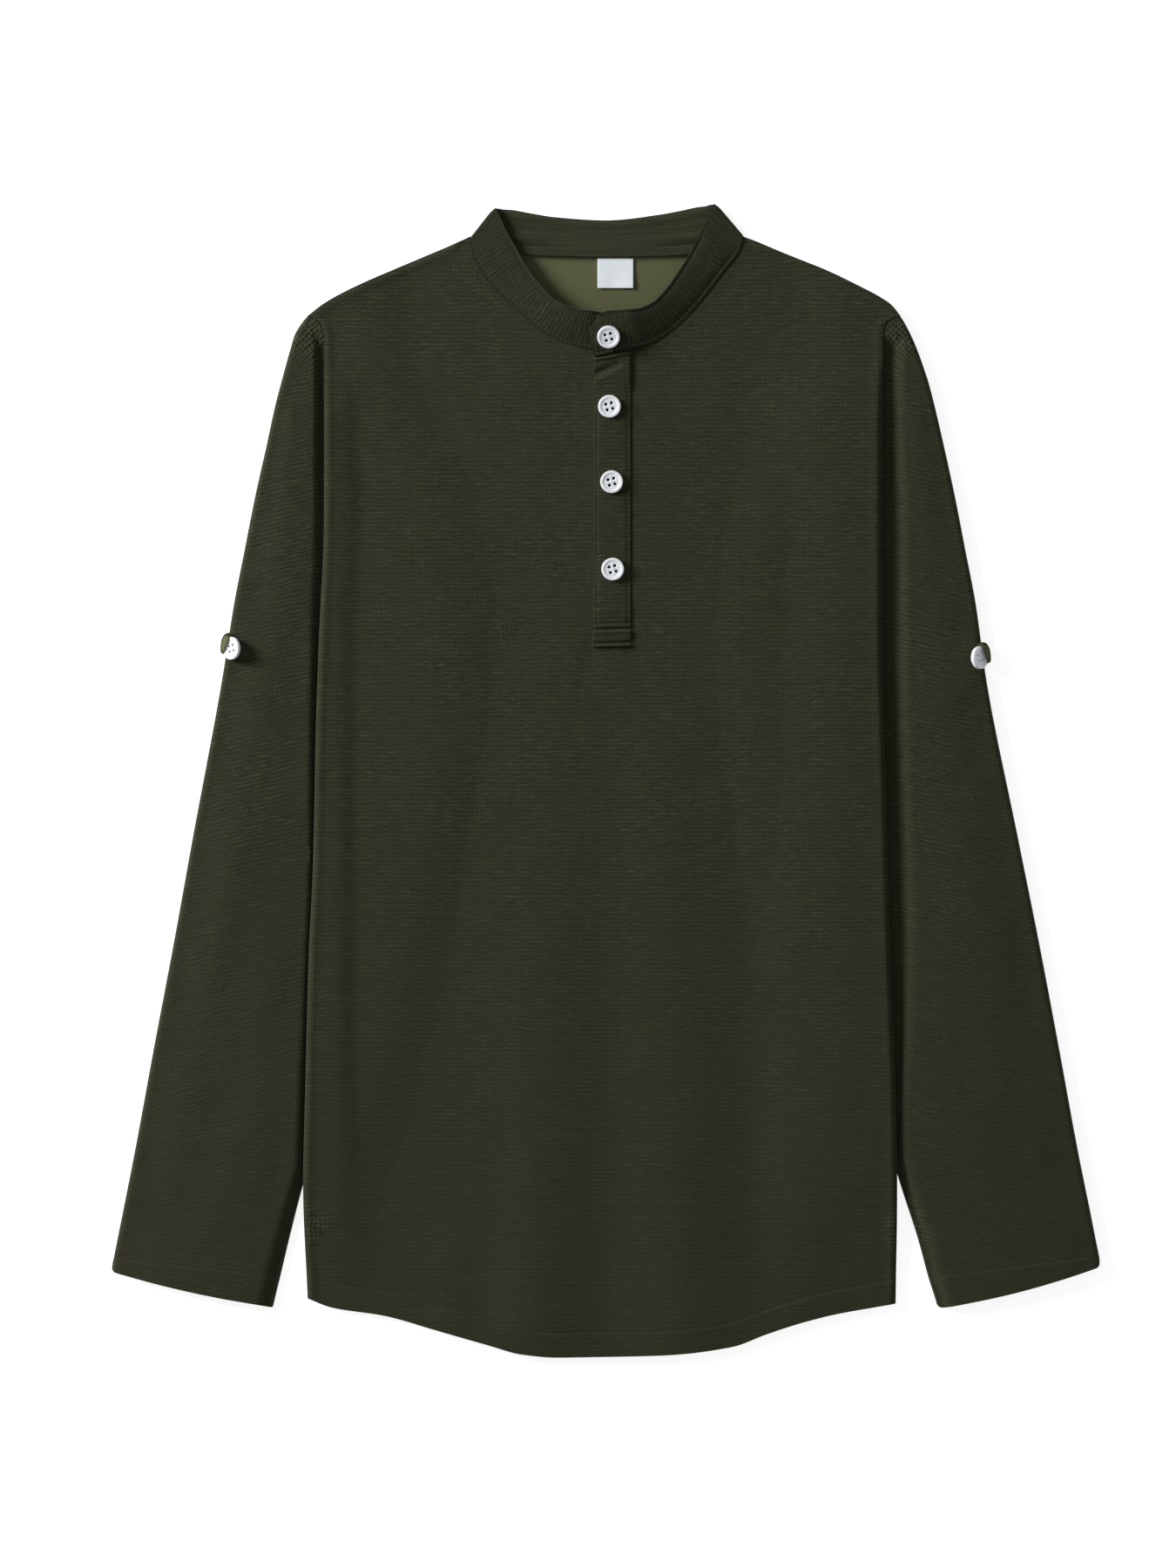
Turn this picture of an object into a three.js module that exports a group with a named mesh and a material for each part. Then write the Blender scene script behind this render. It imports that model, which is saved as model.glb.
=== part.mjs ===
// A long-sleeve henley shirt with a band collar and a half placket, laid flat on its back.
//
// Millimetres, +Z up. The surface it lies on is z = 0, the hem points to -Y, the collar to +Y.
// Left and right are the wearer's own, so the right sleeve lies at -X and the left one at +X.
// Each cut piece is a wall of cloth with its own two faces. Tables give the outlines, one row
// for each level, with the -X and the +X side next to each other.

import * as THREE from 'three';
import { mergeVertices } from 'three/addons/utils/BufferGeometryUtils.js';

// ---- driving sizes -------------------------------------------------------------------------

const CLOTH = 1.4; // one ply of waffle knit
const BAND_CLOTH = 2.4; // the collar band, two plies pressed together
const STRIP_CLOTH = 1.9; // a placket strip, folded double
const LABEL_CLOTH = 1.0;
const GAP = 0.3; // air between two pieces that touch or are sewn together

const SLEEVE_STACK = 2 * CLOTH + GAP; // a sleeve pressed flat
const BODY_ON_SLEEVE = SLEEVE_STACK + GAP; // the body's underside where a sleeve lies beneath
const SLEEVE_LOFT = 6.3; // top of a sleeve between the body and its outer fold
const SLEEVE_FOLD_HEIGHT = 4.6; // a sleeve's height right at its outer fold
const VALLEY = { minus: 3, plus: 8 }; // how far from the body's edge the sleeve stays pressed down

const BUTTON_DIAMETER = 14.5;
const BUTTON_THICKNESS = 2.4;
const BUTTON_HOLE = 2.0;
const BUTTON_HOLE_CIRCLE = 5.2; // the four holes lie on this circle
const BUTTON_TURN = THREE.MathUtils.degToRad(59); // how far the hole square is turned
const RIM_SIDES = 28;
const HOLE_SIDES = 8;

// Side edges of the body, from the shoulder tip down the armhole to the hem corner.
const BODY_SIDES = [
  { y: 298.5, minus: -192.5, plus: 188.6 },
  { y: 284.0, minus: -187.0, plus: 182.8 },
  { y: 269.5, minus: -181.6, plus: 178.0 },
  { y: 222.0, minus: -181.2, plus: 177.3 },
  { y: 166.0, minus: -181.4, plus: 177.2 },
  { y: 90.0, minus: -184.8, plus: 177.4 },
  { y: 40.0, minus: -186.5, plus: 178.6 },
  { y: -58.0, minus: -188.7, plus: 181.2 },
  { y: -110.0, minus: -191.2, plus: 182.8 },
  { y: -209.0, minus: -193.8, plus: 186.2 },
  { y: -260.0, minus: -194.9, plus: 187.0 },
  { y: -334.0, minus: -191.2, plus: 186.2 },
];

// Shoulder lines, from the shoulder tip up to the neck.
const SHOULDERS = [
  { y: 298.5, minus: -192.5, plus: 188.6 },
  { y: 306.0, minus: -183.0, plus: 183.4 },
  { y: 310.5, minus: -175.8, plus: 177.0 },
  { y: 319.5, minus: -158.0, plus: 160.0 },
  { y: 328.4, minus: -137.8, plus: 141.7 },
  { y: 337.4, minus: -117.0, plus: 119.8 },
  { y: 346.4, minus: -95.2, plus: 97.4 },
  { y: 349.3, minus: -88.9, plus: 90.2 },
];

// Neck seam of the front, from the shoulder down to the placket, with the free edge of the collar
// band opposite each point of the seam, and how far that edge stands above the seam.
const FRONT_NECK = [
  { y: 342.2, minus: -87.6, plus: 86.0, edge: { minus: [-64.5, 354.4], plus: [62.5, 356.5] }, rise: 2.0 },
  { y: 326.1, minus: -79.9, plus: 74.1, edge: { minus: [-57.5, 341.7], plus: [54.4, 340.3] }, rise: 4.5 },
  { y: 313.3, minus: -69.0, plus: 64.3, edge: { minus: [-50.4, 329.3], plus: [47.0, 328.0] }, rise: 6.5 },
  { y: 301.7, minus: -56.1, plus: 54.4, edge: { minus: [-41.5, 317.5], plus: [38.5, 315.8] }, rise: 7.5 },
  { y: 290.0, minus: -43.3, plus: 42.2, edge: { minus: [-30.5, 307.3], plus: [29.0, 306.4] }, rise: 8.0 },
  { y: 282.4, minus: -29.1, plus: 30.2, edge: { minus: [-18.9, 302.7], plus: [20.5, 302.9] }, rise: 8.0 },
  { y: 279.2, minus: -16.3, plus: 20.6, edge: { minus: [-10.0, 301.6], plus: [14.5, 302.2] }, rise: 7.5 },
];
const NECK_CENTRE_Y = 277.3; // the front neck seam where the placket interrupts it

// Neck seam of the back, from the shoulder down to centre back, with the collar's upper edge.
const BACK_NECK = [
  { y: 345.4, minus: -78.0, plus: 79.0, edge: { minus: [-66.5, 367.6], plus: [64.0, 369.7] } },
  { y: 341.6, minus: -68.0, plus: 69.0, edge: { minus: [-59.5, 367.0], plus: [58.0, 368.8] } },
  { y: 338.9, minus: -56.0, plus: 56.0, edge: { minus: [-51.0, 365.4], plus: [49.5, 367.0] } },
  { y: 337.6, minus: -35.0, plus: 35.0, edge: { minus: [-33.0, 362.5], plus: [33.0, 363.9] } },
];
const BACK_NECK_CENTRE = { seam: [0, 337.0], edge: [0, 360.4] };
const BACK_ALLOWANCE = 3; // the back panel goes on under the band, past its seam, by this much
const BACK_BAND_RISE = 2.1; // so the band stands this high at its seam

// The collar's side folds: the seam end and the tip, which are the shirt's highest points.
const COLLAR_FOLD = {
  minus: { seam: [-86.4, 350.6], tip: [-70.8, 368.4] },
  plus: { seam: [88.4, 350.8], tip: [68.6, 370.4] },
};
const COLLAR_FOLD_RADIUS = 2.8;

// Hem of both panels.
const HEM = [
  { x: -191.2, y: -332.5 },
  { x: -177.0, y: -338.0 },
  { x: -143.0, y: -343.6 },
  { x: -110.0, y: -352.0 },
  { x: -76.0, y: -362.0 },
  { x: -54.0, y: -368.0 },
  { x: -31.0, y: -370.2 },
  { x: 2.0, y: -370.4 },
  { x: 36.0, y: -369.4 },
  { x: 81.0, y: -364.0 },
  { x: 103.0, y: -356.0 },
  { x: 125.0, y: -348.0 },
  { x: 148.0, y: -342.0 },
  { x: 186.2, y: -336.0 },
];

// Sleeve stations from the cap to the cuff: the outer fold and the inner fold. The inner fold is
// tucked under the armhole's edge to y = 255, lies under the body and comes out near y = -260.
const SLEEVE_STATIONS = [
  { outY: 294.2, outMinus: -196.6, outPlus: 192.3, inY: 292.4, inMinus: -187.2, inPlus: 183.2 },
  { outY: 287.0, outMinus: -200.5, outPlus: 196.0, inY: 286.0, inMinus: -184.4, inPlus: 180.4 },
  { outY: 277.5, outMinus: -203.2, outPlus: 199.9, inY: 277.5, inMinus: -180.8, inPlus: 177.2 },
  { outY: 265.0, outMinus: -206.6, outPlus: 203.8, inY: 265.0, inMinus: -177.8, inPlus: 174.2 },
  { outY: 255.0, outMinus: -209.2, outPlus: 206.6, inY: 255.0, inMinus: -175.6, inPlus: 172.4 },
  { outY: 241.0, outMinus: -212.5, outPlus: 210.0, inY: 243.0, inMinus: -171.0, inPlus: 168.0 },
  { outY: 216.0, outMinus: -217.8, outPlus: 216.0, inY: 219.0, inMinus: -155.0, inPlus: 152.0 },
  { outY: 183.0, outMinus: -225.7, outPlus: 223.4, inY: 178.0, inMinus: -138.0, inPlus: 135.0 },
  { outY: 149.0, outMinus: -232.4, outPlus: 230.0, inY: 136.0, inMinus: -129.0, inPlus: 127.0 },
  { outY: 116.0, outMinus: -239.0, outPlus: 236.3, inY: 96.0, inMinus: -126.0, inPlus: 124.0 },
  { outY: 65.0, outMinus: -246.4, outPlus: 243.6, inY: 42.0, inMinus: -130.0, inPlus: 128.0 },
  { outY: -36.0, outMinus: -265.4, outPlus: 263.8, inY: -58.0, inMinus: -146.0, inPlus: 143.0 },
  { outY: -103.0, outMinus: -277.8, outPlus: 277.2, inY: -124.0, inMinus: -158.0, inPlus: 155.0 },
  { outY: -170.0, outMinus: -290.6, outPlus: 290.0, inY: -190.0, inMinus: -173.0, inPlus: 169.0 },
  { outY: -239.0, outMinus: -303.4, outPlus: 302.8, inY: -258.0, inMinus: -194.6, inPlus: 188.8 },
  { outY: -286.0, outMinus: -312.8, outPlus: 312.6, inY: -294.0, inMinus: -203.9, inPlus: 200.4 },
  { outY: -307.0, outMinus: -317.0, outPlus: 317.0, inY: -318.0, inMinus: -209.6, inPlus: 207.0 },
  { outY: -314.6, outMinus: -316.0, outPlus: 315.8, inY: -338.4, inMinus: -214.5, inPlus: 213.2 },
];
const CUFF_BOW = 1.6; // how far the cuff's edge bows out between its two folds

// Long soft folds of the front: a crest or a trough along a line, growing towards the hem.
const BODY_FOLDS = [
  { fromX: -31, fromY: 60, toX: -59, toY: -345, halfWidth: 30, fromHeight: 0.2, toHeight: 1.8 },
  { fromX: 41, fromY: 60, toX: 69, toY: -345, halfWidth: 30, fromHeight: 0.2, toHeight: 1.9 },
  { fromX: 150, fromY: 60, toX: 160, toY: -325, halfWidth: 24, fromHeight: 0.1, toHeight: 1.0 },
  { fromX: -2, fromY: 40, toX: 8, toY: -350, halfWidth: 22, fromHeight: -0.2, toHeight: -1.2 },
  { fromX: 100, fromY: 60, toX: 117, toY: -335, halfWidth: 24, fromHeight: -0.2, toHeight: -1.2 },
  { fromX: -112, fromY: 60, toX: -122, toY: -335, halfWidth: 28, fromHeight: -0.2, toHeight: -1.0 },
];

const SLIT = { minus: -4.5, plus: 12.5 }; // the front's slit, under the placket
const TOP_STRIP = { minus: -8.1, plus: 15.8 }; // the strip that shows
const TOP_STRIP_BOX = { minus: -9.4, plus: 17.0, level: 97.8 }; // its wider stitched end, up to this level
const TOP_STRIP_LEVELS = [86.4, 97.8, 98.4, 128, 160, 192, 224, 256, 271.6];
const UNDER_STRIP_LEVELS = [105, 140, 175, 210, 245, 276.6];
const LABEL = { minus: -5.6, plus: 17.4, bottom: 317.2, top: 336.3 };

// Buttons down the centre front: the first sits on the collar.
const COLLAR_BUTTON = { x: 1.4, y: 285.6 };
const PLACKET_BUTTONS = [
  { x: 2.0, y: 240.7 },
  { x: 3.4, y: 192.2 },
  { x: 4.1, y: 136.1 },
];

// Roll-up tabs: a short tongue rounds the sleeve's outer fold under its button.
const SLEEVE_TABS = {
  minus: { foldX: -243.4, y: 87.4, buttonX: -241.3, buttonY: 85.2 },
  plus: { foldX: 241.3, y: 84.4, buttonX: 239.2, buttonY: 81.0 },
};
const TAB_CLOTH = 1.2;
const SLEEVE_BUTTON_TILT = THREE.MathUtils.degToRad(32);
const SLEEVE_BUTTON_Z = 8.2; // the middle of its underside

const OLIVE = 0x35362a;
const OLIVE_COLLAR = 0x323327;
const OLIVE_WRONG_SIDE = 0x464832;
const WHITE_PLASTIC = 0xdadfe7;
const WHITE_LABEL = 0xdee6ea;

// ---- small tools ---------------------------------------------------------------------------

const { lerp } = THREE.MathUtils;

function smooth(t) {
  return THREE.MathUtils.smoothstep(t, 0, 1);
}

// Reads a column of a table at a value of its key column, straight between rows.
function readTable(table, key, value, column) {
  const rising = table.at(-1)[key] > table[0][key];
  const rows = rising ? table : [...table].reverse();
  if (value <= rows[0][key]) {
    return rows[0][column];
  }
  for (let k = 1; k < rows.length; k += 1) {
    if (value <= rows[k][key]) {
      const span = rows[k][key] - rows[k - 1][key];
      return lerp(rows[k - 1][column], rows[k][column], (value - rows[k - 1][key]) / span);
    }
  }
  return rows.at(-1)[column];
}

// Closes the wall between an outer and an inner grid of points. wrap joins the last column to the
// first, as round a tube, and keep(i, j) says which cells are cloth.
function wallGeometry(columns, rows, pointPair, { wrap = false, keep = () => true } = {}) {
  const positions = [];
  for (let j = 0; j < rows; j += 1) {
    for (let i = 0; i < columns; i += 1) {
      const { outer, inner } = pointPair(i, j);
      positions.push(...outer, ...inner);
    }
  }
  const cellColumns = wrap ? columns : columns - 1;
  const outerIndex = (i, j) => 2 * (j * columns + (i % columns));
  const isCloth = (i, j) => {
    const column = wrap ? (i + columns) % columns : i;
    return column >= 0 && column < cellColumns && j >= 0 && j < rows - 1 && keep(column, j);
  };
  const faces = [];
  const addQuad = (a, b, c, d) => faces.push(a, b, c, a, c, d);
  for (let j = 0; j < rows - 1; j += 1) {
    for (let i = 0; i < cellColumns; i += 1) {
      if (!isCloth(i, j)) {
        continue;
      }
      const cell = [[i, j], [i + 1, j], [i + 1, j + 1], [i, j + 1]];
      const corners = cell.map(([column, row]) => outerIndex(column, row));
      const beyond = [[i, j - 1], [i + 1, j], [i, j + 1], [i - 1, j]];
      const [a, b, c, d] = corners;
      addQuad(a, b, c, d);
      addQuad(a + 1, d + 1, c + 1, b + 1);
      beyond.forEach(([column, row], side) => {
        if (!isCloth(column, row)) {
          const from = corners[side];
          const to = corners[(side + 1) % 4];
          addQuad(from, from + 1, to + 1, to);
        }
      });
    }
  }
  const geometry = new THREE.BufferGeometry();
  geometry.setAttribute('position', new THREE.Float32BufferAttribute(positions, 3));
  geometry.setIndex(signedVolume(positions, faces) < 0 ? faces.reverse() : faces);
  const closed = mergeVertices(geometry.toNonIndexed(), 1e-4);
  closed.computeVertexNormals();
  return closed;
}

function signedVolume(positions, faces) {
  const corner = (index) => new THREE.Vector3().fromArray(positions, 3 * index);
  let volume = 0;
  for (let k = 0; k < faces.length; k += 3) {
    volume += corner(faces[k]).dot(corner(faces[k + 1]).cross(corner(faces[k + 2]))) / 6;
  }
  return volume;
}

function meshOf(name, geometry, color, roughness = 0.95) {
  const mesh = new THREE.Mesh(geometry, new THREE.MeshStandardMaterial({ color, roughness, metalness: 0 }));
  mesh.name = name;
  return mesh;
}

// ---- heights of the layers -----------------------------------------------------------------

const DRAPE_START = 18; // the body stays lifted this far past a sleeve's inner fold
const DRAPE_LENGTH = 42; // and then comes down to the surface over this length
const HEM_DRAPE = { flatAt: -340, length: 70 }; // it is down at the hem corners

const MIDDLE_LEVEL = 3.1; // underside of the front at centre
const SIDE_LEVEL = 5.3; // and towards the sides, where it bridges the sleeves
const LEVEL_CHANGE = { from: 55, length: 75 }; // from the middle level to the side level
const UPPER_CHANGE = { flatAt: 300, length: 70 };
const LOWER_CHANGE = { flatAt: -350, length: 120 };
const EDGE_ROUNDING = 14; // the front curves down to the back over this width
const SHOULDER_COSINE = 0.9; // of the slope of the shoulder line
const NECK_HALF_WIDTH = 90;

function bodyEdge(side, y) {
  return readTable(BODY_SIDES, 'y', y, side);
}

function sleeveInnerFold(side, y) {
  return readTable(SLEEVE_STATIONS, 'inY', y, side === 'minus' ? 'inMinus' : 'inPlus');
}

// 0 where y has reached a drape's flat end, 1 past its length.
function clearOf(drape, y) {
  return smooth(Math.sign(drape.flatAt) * (drape.flatAt - y) / drape.length);
}

// Underside of the back panel: on the surface in the middle, up on the sleeves at the sides.
function backUnder(x, y) {
  const side = x < 0 ? 'minus' : 'plus';
  const inboard = Math.abs(sleeveInnerFold(side, y)) - Math.abs(x);
  const overSleeve = 1 - smooth((inboard - DRAPE_START) / DRAPE_LENGTH);
  return BODY_ON_SLEEVE * overSleeve * clearOf(HEM_DRAPE, y);
}

function backTop(x, y) {
  return backUnder(x, y) + CLOTH;
}

// Height of the long folds at a point.
function foldHeight(x, y) {
  let height = 0;
  for (const fold of BODY_FOLDS) {
    const alongX = fold.toX - fold.fromX;
    const alongY = fold.toY - fold.fromY;
    const raw = ((x - fold.fromX) * alongX + (y - fold.fromY) * alongY) / (alongX ** 2 + alongY ** 2);
    const t = THREE.MathUtils.clamp(raw, 0, 1);
    const away = Math.hypot(x - fold.fromX - t * alongX, y - fold.fromY - t * alongY);
    height += lerp(fold.fromHeight, fold.toHeight, t) * Math.exp(-((away / fold.halfWidth) ** 2));
  }
  return height;
}

function shoulderHeight(x) {
  return readTable(SHOULDERS, x < 0 ? 'minus' : 'plus', x, 'y');
}

// How far a point lies inside the side seam and the shoulder seam, whichever is nearer.
function insideSeams(x, y) {
  const side = x < 0 ? 'minus' : 'plus';
  const fromSide = Math.abs(bodyEdge(side, y)) - Math.abs(x);
  const underShoulder = Math.abs(x) > NECK_HALF_WIDTH;
  const fromShoulder = underShoulder ? (shoulderHeight(x) - y) * SHOULDER_COSINE : EDGE_ROUNDING;
  return Math.max(0, Math.min(fromSide, fromShoulder));
}

// Underside of the front panel.
function frontUnder(x, y) {
  const onBack = backTop(x, y) + GAP;
  const outward = smooth((Math.abs(x) - LEVEL_CHANGE.from) / LEVEL_CHANGE.length);
  const sideways = outward * clearOf(UPPER_CHANGE, y) * clearOf(LOWER_CHANGE, y);
  const level = lerp(MIDDLE_LEVEL, SIDE_LEVEL, sideways) + foldHeight(x, y);
  return onBack + Math.max(0, level - onBack) * smooth(insideSeams(x, y) / EDGE_ROUNDING);
}

function frontTop(x, y) {
  return frontUnder(x, y) + CLOTH;
}

// ---- front and back panels -----------------------------------------------------------------

const MIDDLE_SIDE = { minus: -186, plus: 181 }; // where the outermost grid columns would stand upright
const STRAIGHT_COLUMNS = 100; // columns nearer the middle than this do run upright

// A point of a neck seam, moved half a gap to the panel's side of the seam or to the band's side.
function seamPoint(row, side, toPanel) {
  const half = toPanel ? GAP / 2 : -GAP / 2;
  return [row[side] + Math.sign(row[side]) * half, row.y - half];
}

// A point of the back panel's neck edge, past the seam once it is clear of the shoulder.
function backEdgePoint(row, side) {
  const atShoulder = row === BACK_NECK[0];
  return atShoulder ? seamPoint(row, side, true) : [row[side], row.y + BACK_ALLOWANCE];
}

// Outline of a panel's upper edge from one shoulder tip to the other, as points from -X to +X.
function upperEdge(neckRows, neckPoint, centre) {
  const half = (side) => [
    ...SHOULDERS.map((row) => [row[side], row.y]),
    ...neckRows.map((row) => neckPoint(row, side)),
  ];
  return [...half('minus'), ...centre, ...half('plus').reverse()];
}

function frontEdgePoint(row, side) {
  return seamPoint(row, side, true);
}

function heightOn(points, x) {
  return readTable(points.map(([px, py]) => ({ x: px, y: py })), 'x', x, 'y');
}

const SIDE_COLUMNS = [1, 0.972, 0.92, 0.82, 0.71, 0.6]; // share of MIDDLE_SIDE, outermost first
const SLIT_END_LEVEL = 129.6; // level at the side edge of the grid row that ends the slit
const SIDE_LEVELS = [
  -334, -316, -290, -260, -209, -160, -110, -58, -10, 40, 90, SLIT_END_LEVEL, 166, 195, 222, 243,
  256, 269.5, 284, 298.5,
];

// A panel between the hem and its upper edge, on a grid whose outer columns follow the sides.
function panelGeometry(edgePoints, innerColumns, under, isSlit = () => false) {
  const columns = [
    ...SIDE_COLUMNS.map((share) => share * MIDDLE_SIDE.minus),
    ...innerColumns,
    ...SIDE_COLUMNS.map((share) => share * MIDDLE_SIDE.plus).reverse(),
  ];
  const lowest = SIDE_LEVELS[0];
  const highest = SIDE_LEVELS.at(-1);
  const shiftAt = (column, level) => {
    const side = column < 0 ? 'minus' : 'plus';
    const outward = (Math.abs(column) - STRAIGHT_COLUMNS) / (Math.abs(MIDDLE_SIDE[side]) - STRAIGHT_COLUMNS);
    return Math.max(0, outward) * (bodyEdge(side, level) - MIDDLE_SIDE[side]);
  };
  const pointPair = (i, j) => {
    const column = columns[i];
    const level = SIDE_LEVELS[j];
    const bottom = readTable(HEM, 'x', column + shiftAt(column, lowest), 'y');
    const top = heightOn(edgePoints, column + shiftAt(column, highest));
    const x = column + shiftAt(column, level);
    const y = lerp(bottom, top, (level - lowest) / (highest - lowest));
    const z = under(x, y);
    return { outer: [x, y, z + CLOTH], inner: [x, y, z] };
  };
  const keep = (i, j) => !isSlit(columns[i], columns[i + 1], SIDE_LEVELS[j]);
  return wallGeometry(columns.length, SIDE_LEVELS.length, pointPair, { keep });
}

function neckColumns(neckRows, neckPoint, centreColumns) {
  const corner = SHOULDERS.at(-1);
  return [
    corner.minus,
    ...neckRows.map((row) => neckPoint(row, 'minus')[0]),
    ...centreColumns,
    ...neckRows.map((row) => neckPoint(row, 'plus')[0]).reverse(),
    corner.plus,
  ];
}

function makeFrontPanel() {
  const centre = [SLIT.minus, SLIT.plus].map((x) => [x, NECK_CENTRE_Y - GAP / 2]);
  const edgePoints = upperEdge(FRONT_NECK, frontEdgePoint, centre);
  const isSlit = (from, to, level) => from >= SLIT.minus && to <= SLIT.plus && level >= SLIT_END_LEVEL;
  const columns = neckColumns(FRONT_NECK, frontEdgePoint, [SLIT.minus, SLIT.plus]);
  return meshOf('front_panel', panelGeometry(edgePoints, columns, frontUnder, isSlit), OLIVE);
}

const BACK_MIDDLE_COLUMN = 18; // extra columns of the back, either side of centre

function makeBackPanel() {
  const [x, y] = BACK_NECK_CENTRE.seam;
  const edgePoints = upperEdge(BACK_NECK, backEdgePoint, [[x, y + BACK_ALLOWANCE]]);
  const middleColumns = [-BACK_MIDDLE_COLUMN, x, BACK_MIDDLE_COLUMN];
  const columns = neckColumns(BACK_NECK, backEdgePoint, middleColumns);
  return meshOf('back_panel', panelGeometry(edgePoints, columns, backUnder), OLIVE_WRONG_SIDE);
}

// ---- sleeves -------------------------------------------------------------------------------

const UNDERSIDE_SHARES = [0, 0.33, 0.67, 1]; // inner fold to outer fold
const VISIBLE_SHARES = [1, 0.92, 0.82, 0.62, 0.4, 0.2, 0.08, 0]; // outer fold to the body's edge
const FOLD_ANGLES = [-45, 0, 45];
const BODY_EDGE_CLEARANCE = 1.5;
const HIDDEN_LEAST = 0.8; // the pressed stretch at the armhole, where nothing lies under the body
const FOLD_RISE = 14; // the sleeve rises to its fold height over this length
const CROWN_RISE = 40; // and to its loft over this length
const CROWN_FALL = 20; // it comes down to its fold height over this length

// Top of a sleeve, by how far the point lies outside the body's edge and inside the outer fold.
function sleeveTop(side, fromBody, fromFold) {
  const free = fromBody - VALLEY[side];
  const foldPart = (SLEEVE_FOLD_HEIGHT - SLEEVE_STACK) * smooth(free / FOLD_RISE);
  const towardsCrown = smooth(free / CROWN_RISE) * smooth(fromFold / CROWN_FALL);
  const crown = (SLEEVE_LOFT - SLEEVE_FOLD_HEIGHT) * towardsCrown;
  return SLEEVE_STACK + foldPart + crown;
}

// One section of a sleeve, from the inner fold along the underside, round the outer fold and back
// over the top. Each entry has its distance from the inner fold and its height, on both faces.
function sleeveSection(side, width, hiddenWidth) {
  const innerRadius = SLEEVE_STACK / 2;
  const edgeAt = Math.max(hiddenWidth + BODY_EDGE_CLEARANCE, innerRadius + HIDDEN_LEAST);
  const outerRadius = sleeveTop(side, width - hiddenWidth, 0) / 2;
  const foldAt = width - outerRadius;
  const section = [];
  const addArc = (centre, radius, degrees) => {
    const angle = THREE.MathUtils.degToRad(degrees);
    const onArc = (reach) => [centre + reach * Math.cos(angle), radius + reach * Math.sin(angle)];
    const [at, z] = onArc(radius);
    const [boreAt, boreZ] = onArc(radius - CLOTH);
    section.push({ at, z, boreAt, boreZ });
  };
  const addFlat = (at, z, inward) => section.push({ at, z, boreAt: at, boreZ: z + inward * CLOTH });
  for (const share of UNDERSIDE_SHARES) {
    addFlat(lerp(innerRadius, foldAt, share), 0, 1);
  }
  FOLD_ANGLES.forEach((degrees) => addArc(foldAt, outerRadius, degrees));
  for (const share of VISIBLE_SHARES) {
    const at = lerp(edgeAt, foldAt, share);
    addFlat(at, sleeveTop(side, at - hiddenWidth, foldAt - at), -1);
  }
  addFlat(lerp(innerRadius, edgeAt, 0.5), SLEEVE_STACK, -1);
  addFlat(innerRadius, SLEEVE_STACK, -1);
  FOLD_ANGLES.forEach((degrees) => addArc(innerRadius, innerRadius, degrees + 180));
  return section;
}

function makeSleeve(name, side) {
  const [outKey, inKey] = side === 'minus' ? ['outMinus', 'inMinus'] : ['outPlus', 'inPlus'];
  const stations = SLEEVE_STATIONS.map((row) => {
    const outer = new THREE.Vector2(row[outKey], row.outY);
    const inner = new THREE.Vector2(row[inKey], row.inY);
    const width = outer.distanceTo(inner);
    const hidden = Math.abs(bodyEdge(side, (row.inY + row.outY) / 2)) - Math.abs(row[inKey]);
    const across = outer.clone().sub(inner).divideScalar(width);
    return { inner, across, width, section: sleeveSection(side, width, Math.max(0, hidden)) };
  });
  const bowed = stations.length - 1;
  const pointPair = (i, j) => {
    const { inner, across, width, section } = stations[j];
    const { at, z, boreAt, boreZ } = section[i];
    const bow = j === bowed ? CUFF_BOW * Math.sin((Math.PI * at) / width) : 0;
    const place = (distance, height) => [
      inner.x + across.x * distance,
      inner.y + across.y * distance - bow,
      height,
    ];
    return { outer: place(at, z), inner: place(boreAt, boreZ) };
  };
  const geometry = wallGeometry(stations[0].section.length, stations.length, pointPair, { wrap: true });
  return meshOf(name, geometry, OLIVE);
}

// ---- collar band ---------------------------------------------------------------------------

const BAND_SHARES = [0, 0.33, 0.68, 1]; // across the band, from its seam to its free edge
const FOLD_TURNS = [90, 45, 0, -45, -90];
const BAND_PROUD = 0.7; // the band's face above the front panel's face at their seam
const LAP = BAND_CLOTH + GAP; // the upper end lies this much higher than the lower end
const UPPER_END = { x: -8.6, seamY: 272.8, cornerX: -10.6, edgeX: -5.0, edgeY: 298.2 };
const UPPER_END_ROOT = { seam: [12, 277.6], edge: [9, 301.9] };
const LOWER_END = { fromX: -4, toX: 9.5, edgeShift: 1, edgeY: 300.8, rise: 5.9 };
const CENTRE_RISE = 6.5;
const CENTRE_SEAM_Y = 275.0; // the upper end's seam under its button
const CENTRE_EDGE_Y = 301.4; // and its free edge above it
const LAP_FADE = { from: 14, length: 24 }; // past this the lapped side comes down to its seam

// The face of the band at the front seam.
function bandSeamZ(x, y) {
  return Math.max(frontTop(x, y) + BAND_PROUD, 2 * COLLAR_FOLD_RADIUS);
}

// A straight station across the band: face points at seam and edge, with the way the face looks.
function bandStation(seam, edge, up) {
  const faces = BAND_SHARES.map((share) => seam.map((value, axis) => lerp(value, edge[axis], share)));
  return { faces, backs: faces.map(([x, y, z]) => [x, y, z - up * BAND_CLOTH]) };
}

function frontBandStations(side, lift) {
  return FRONT_NECK.map((row) => {
    const z = bandSeamZ(row[side], row.y) + lift(row[side]);
    return bandStation([...seamPoint(row, side, false), z], [...row.edge[side], z + row.rise], 1);
  });
}

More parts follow.
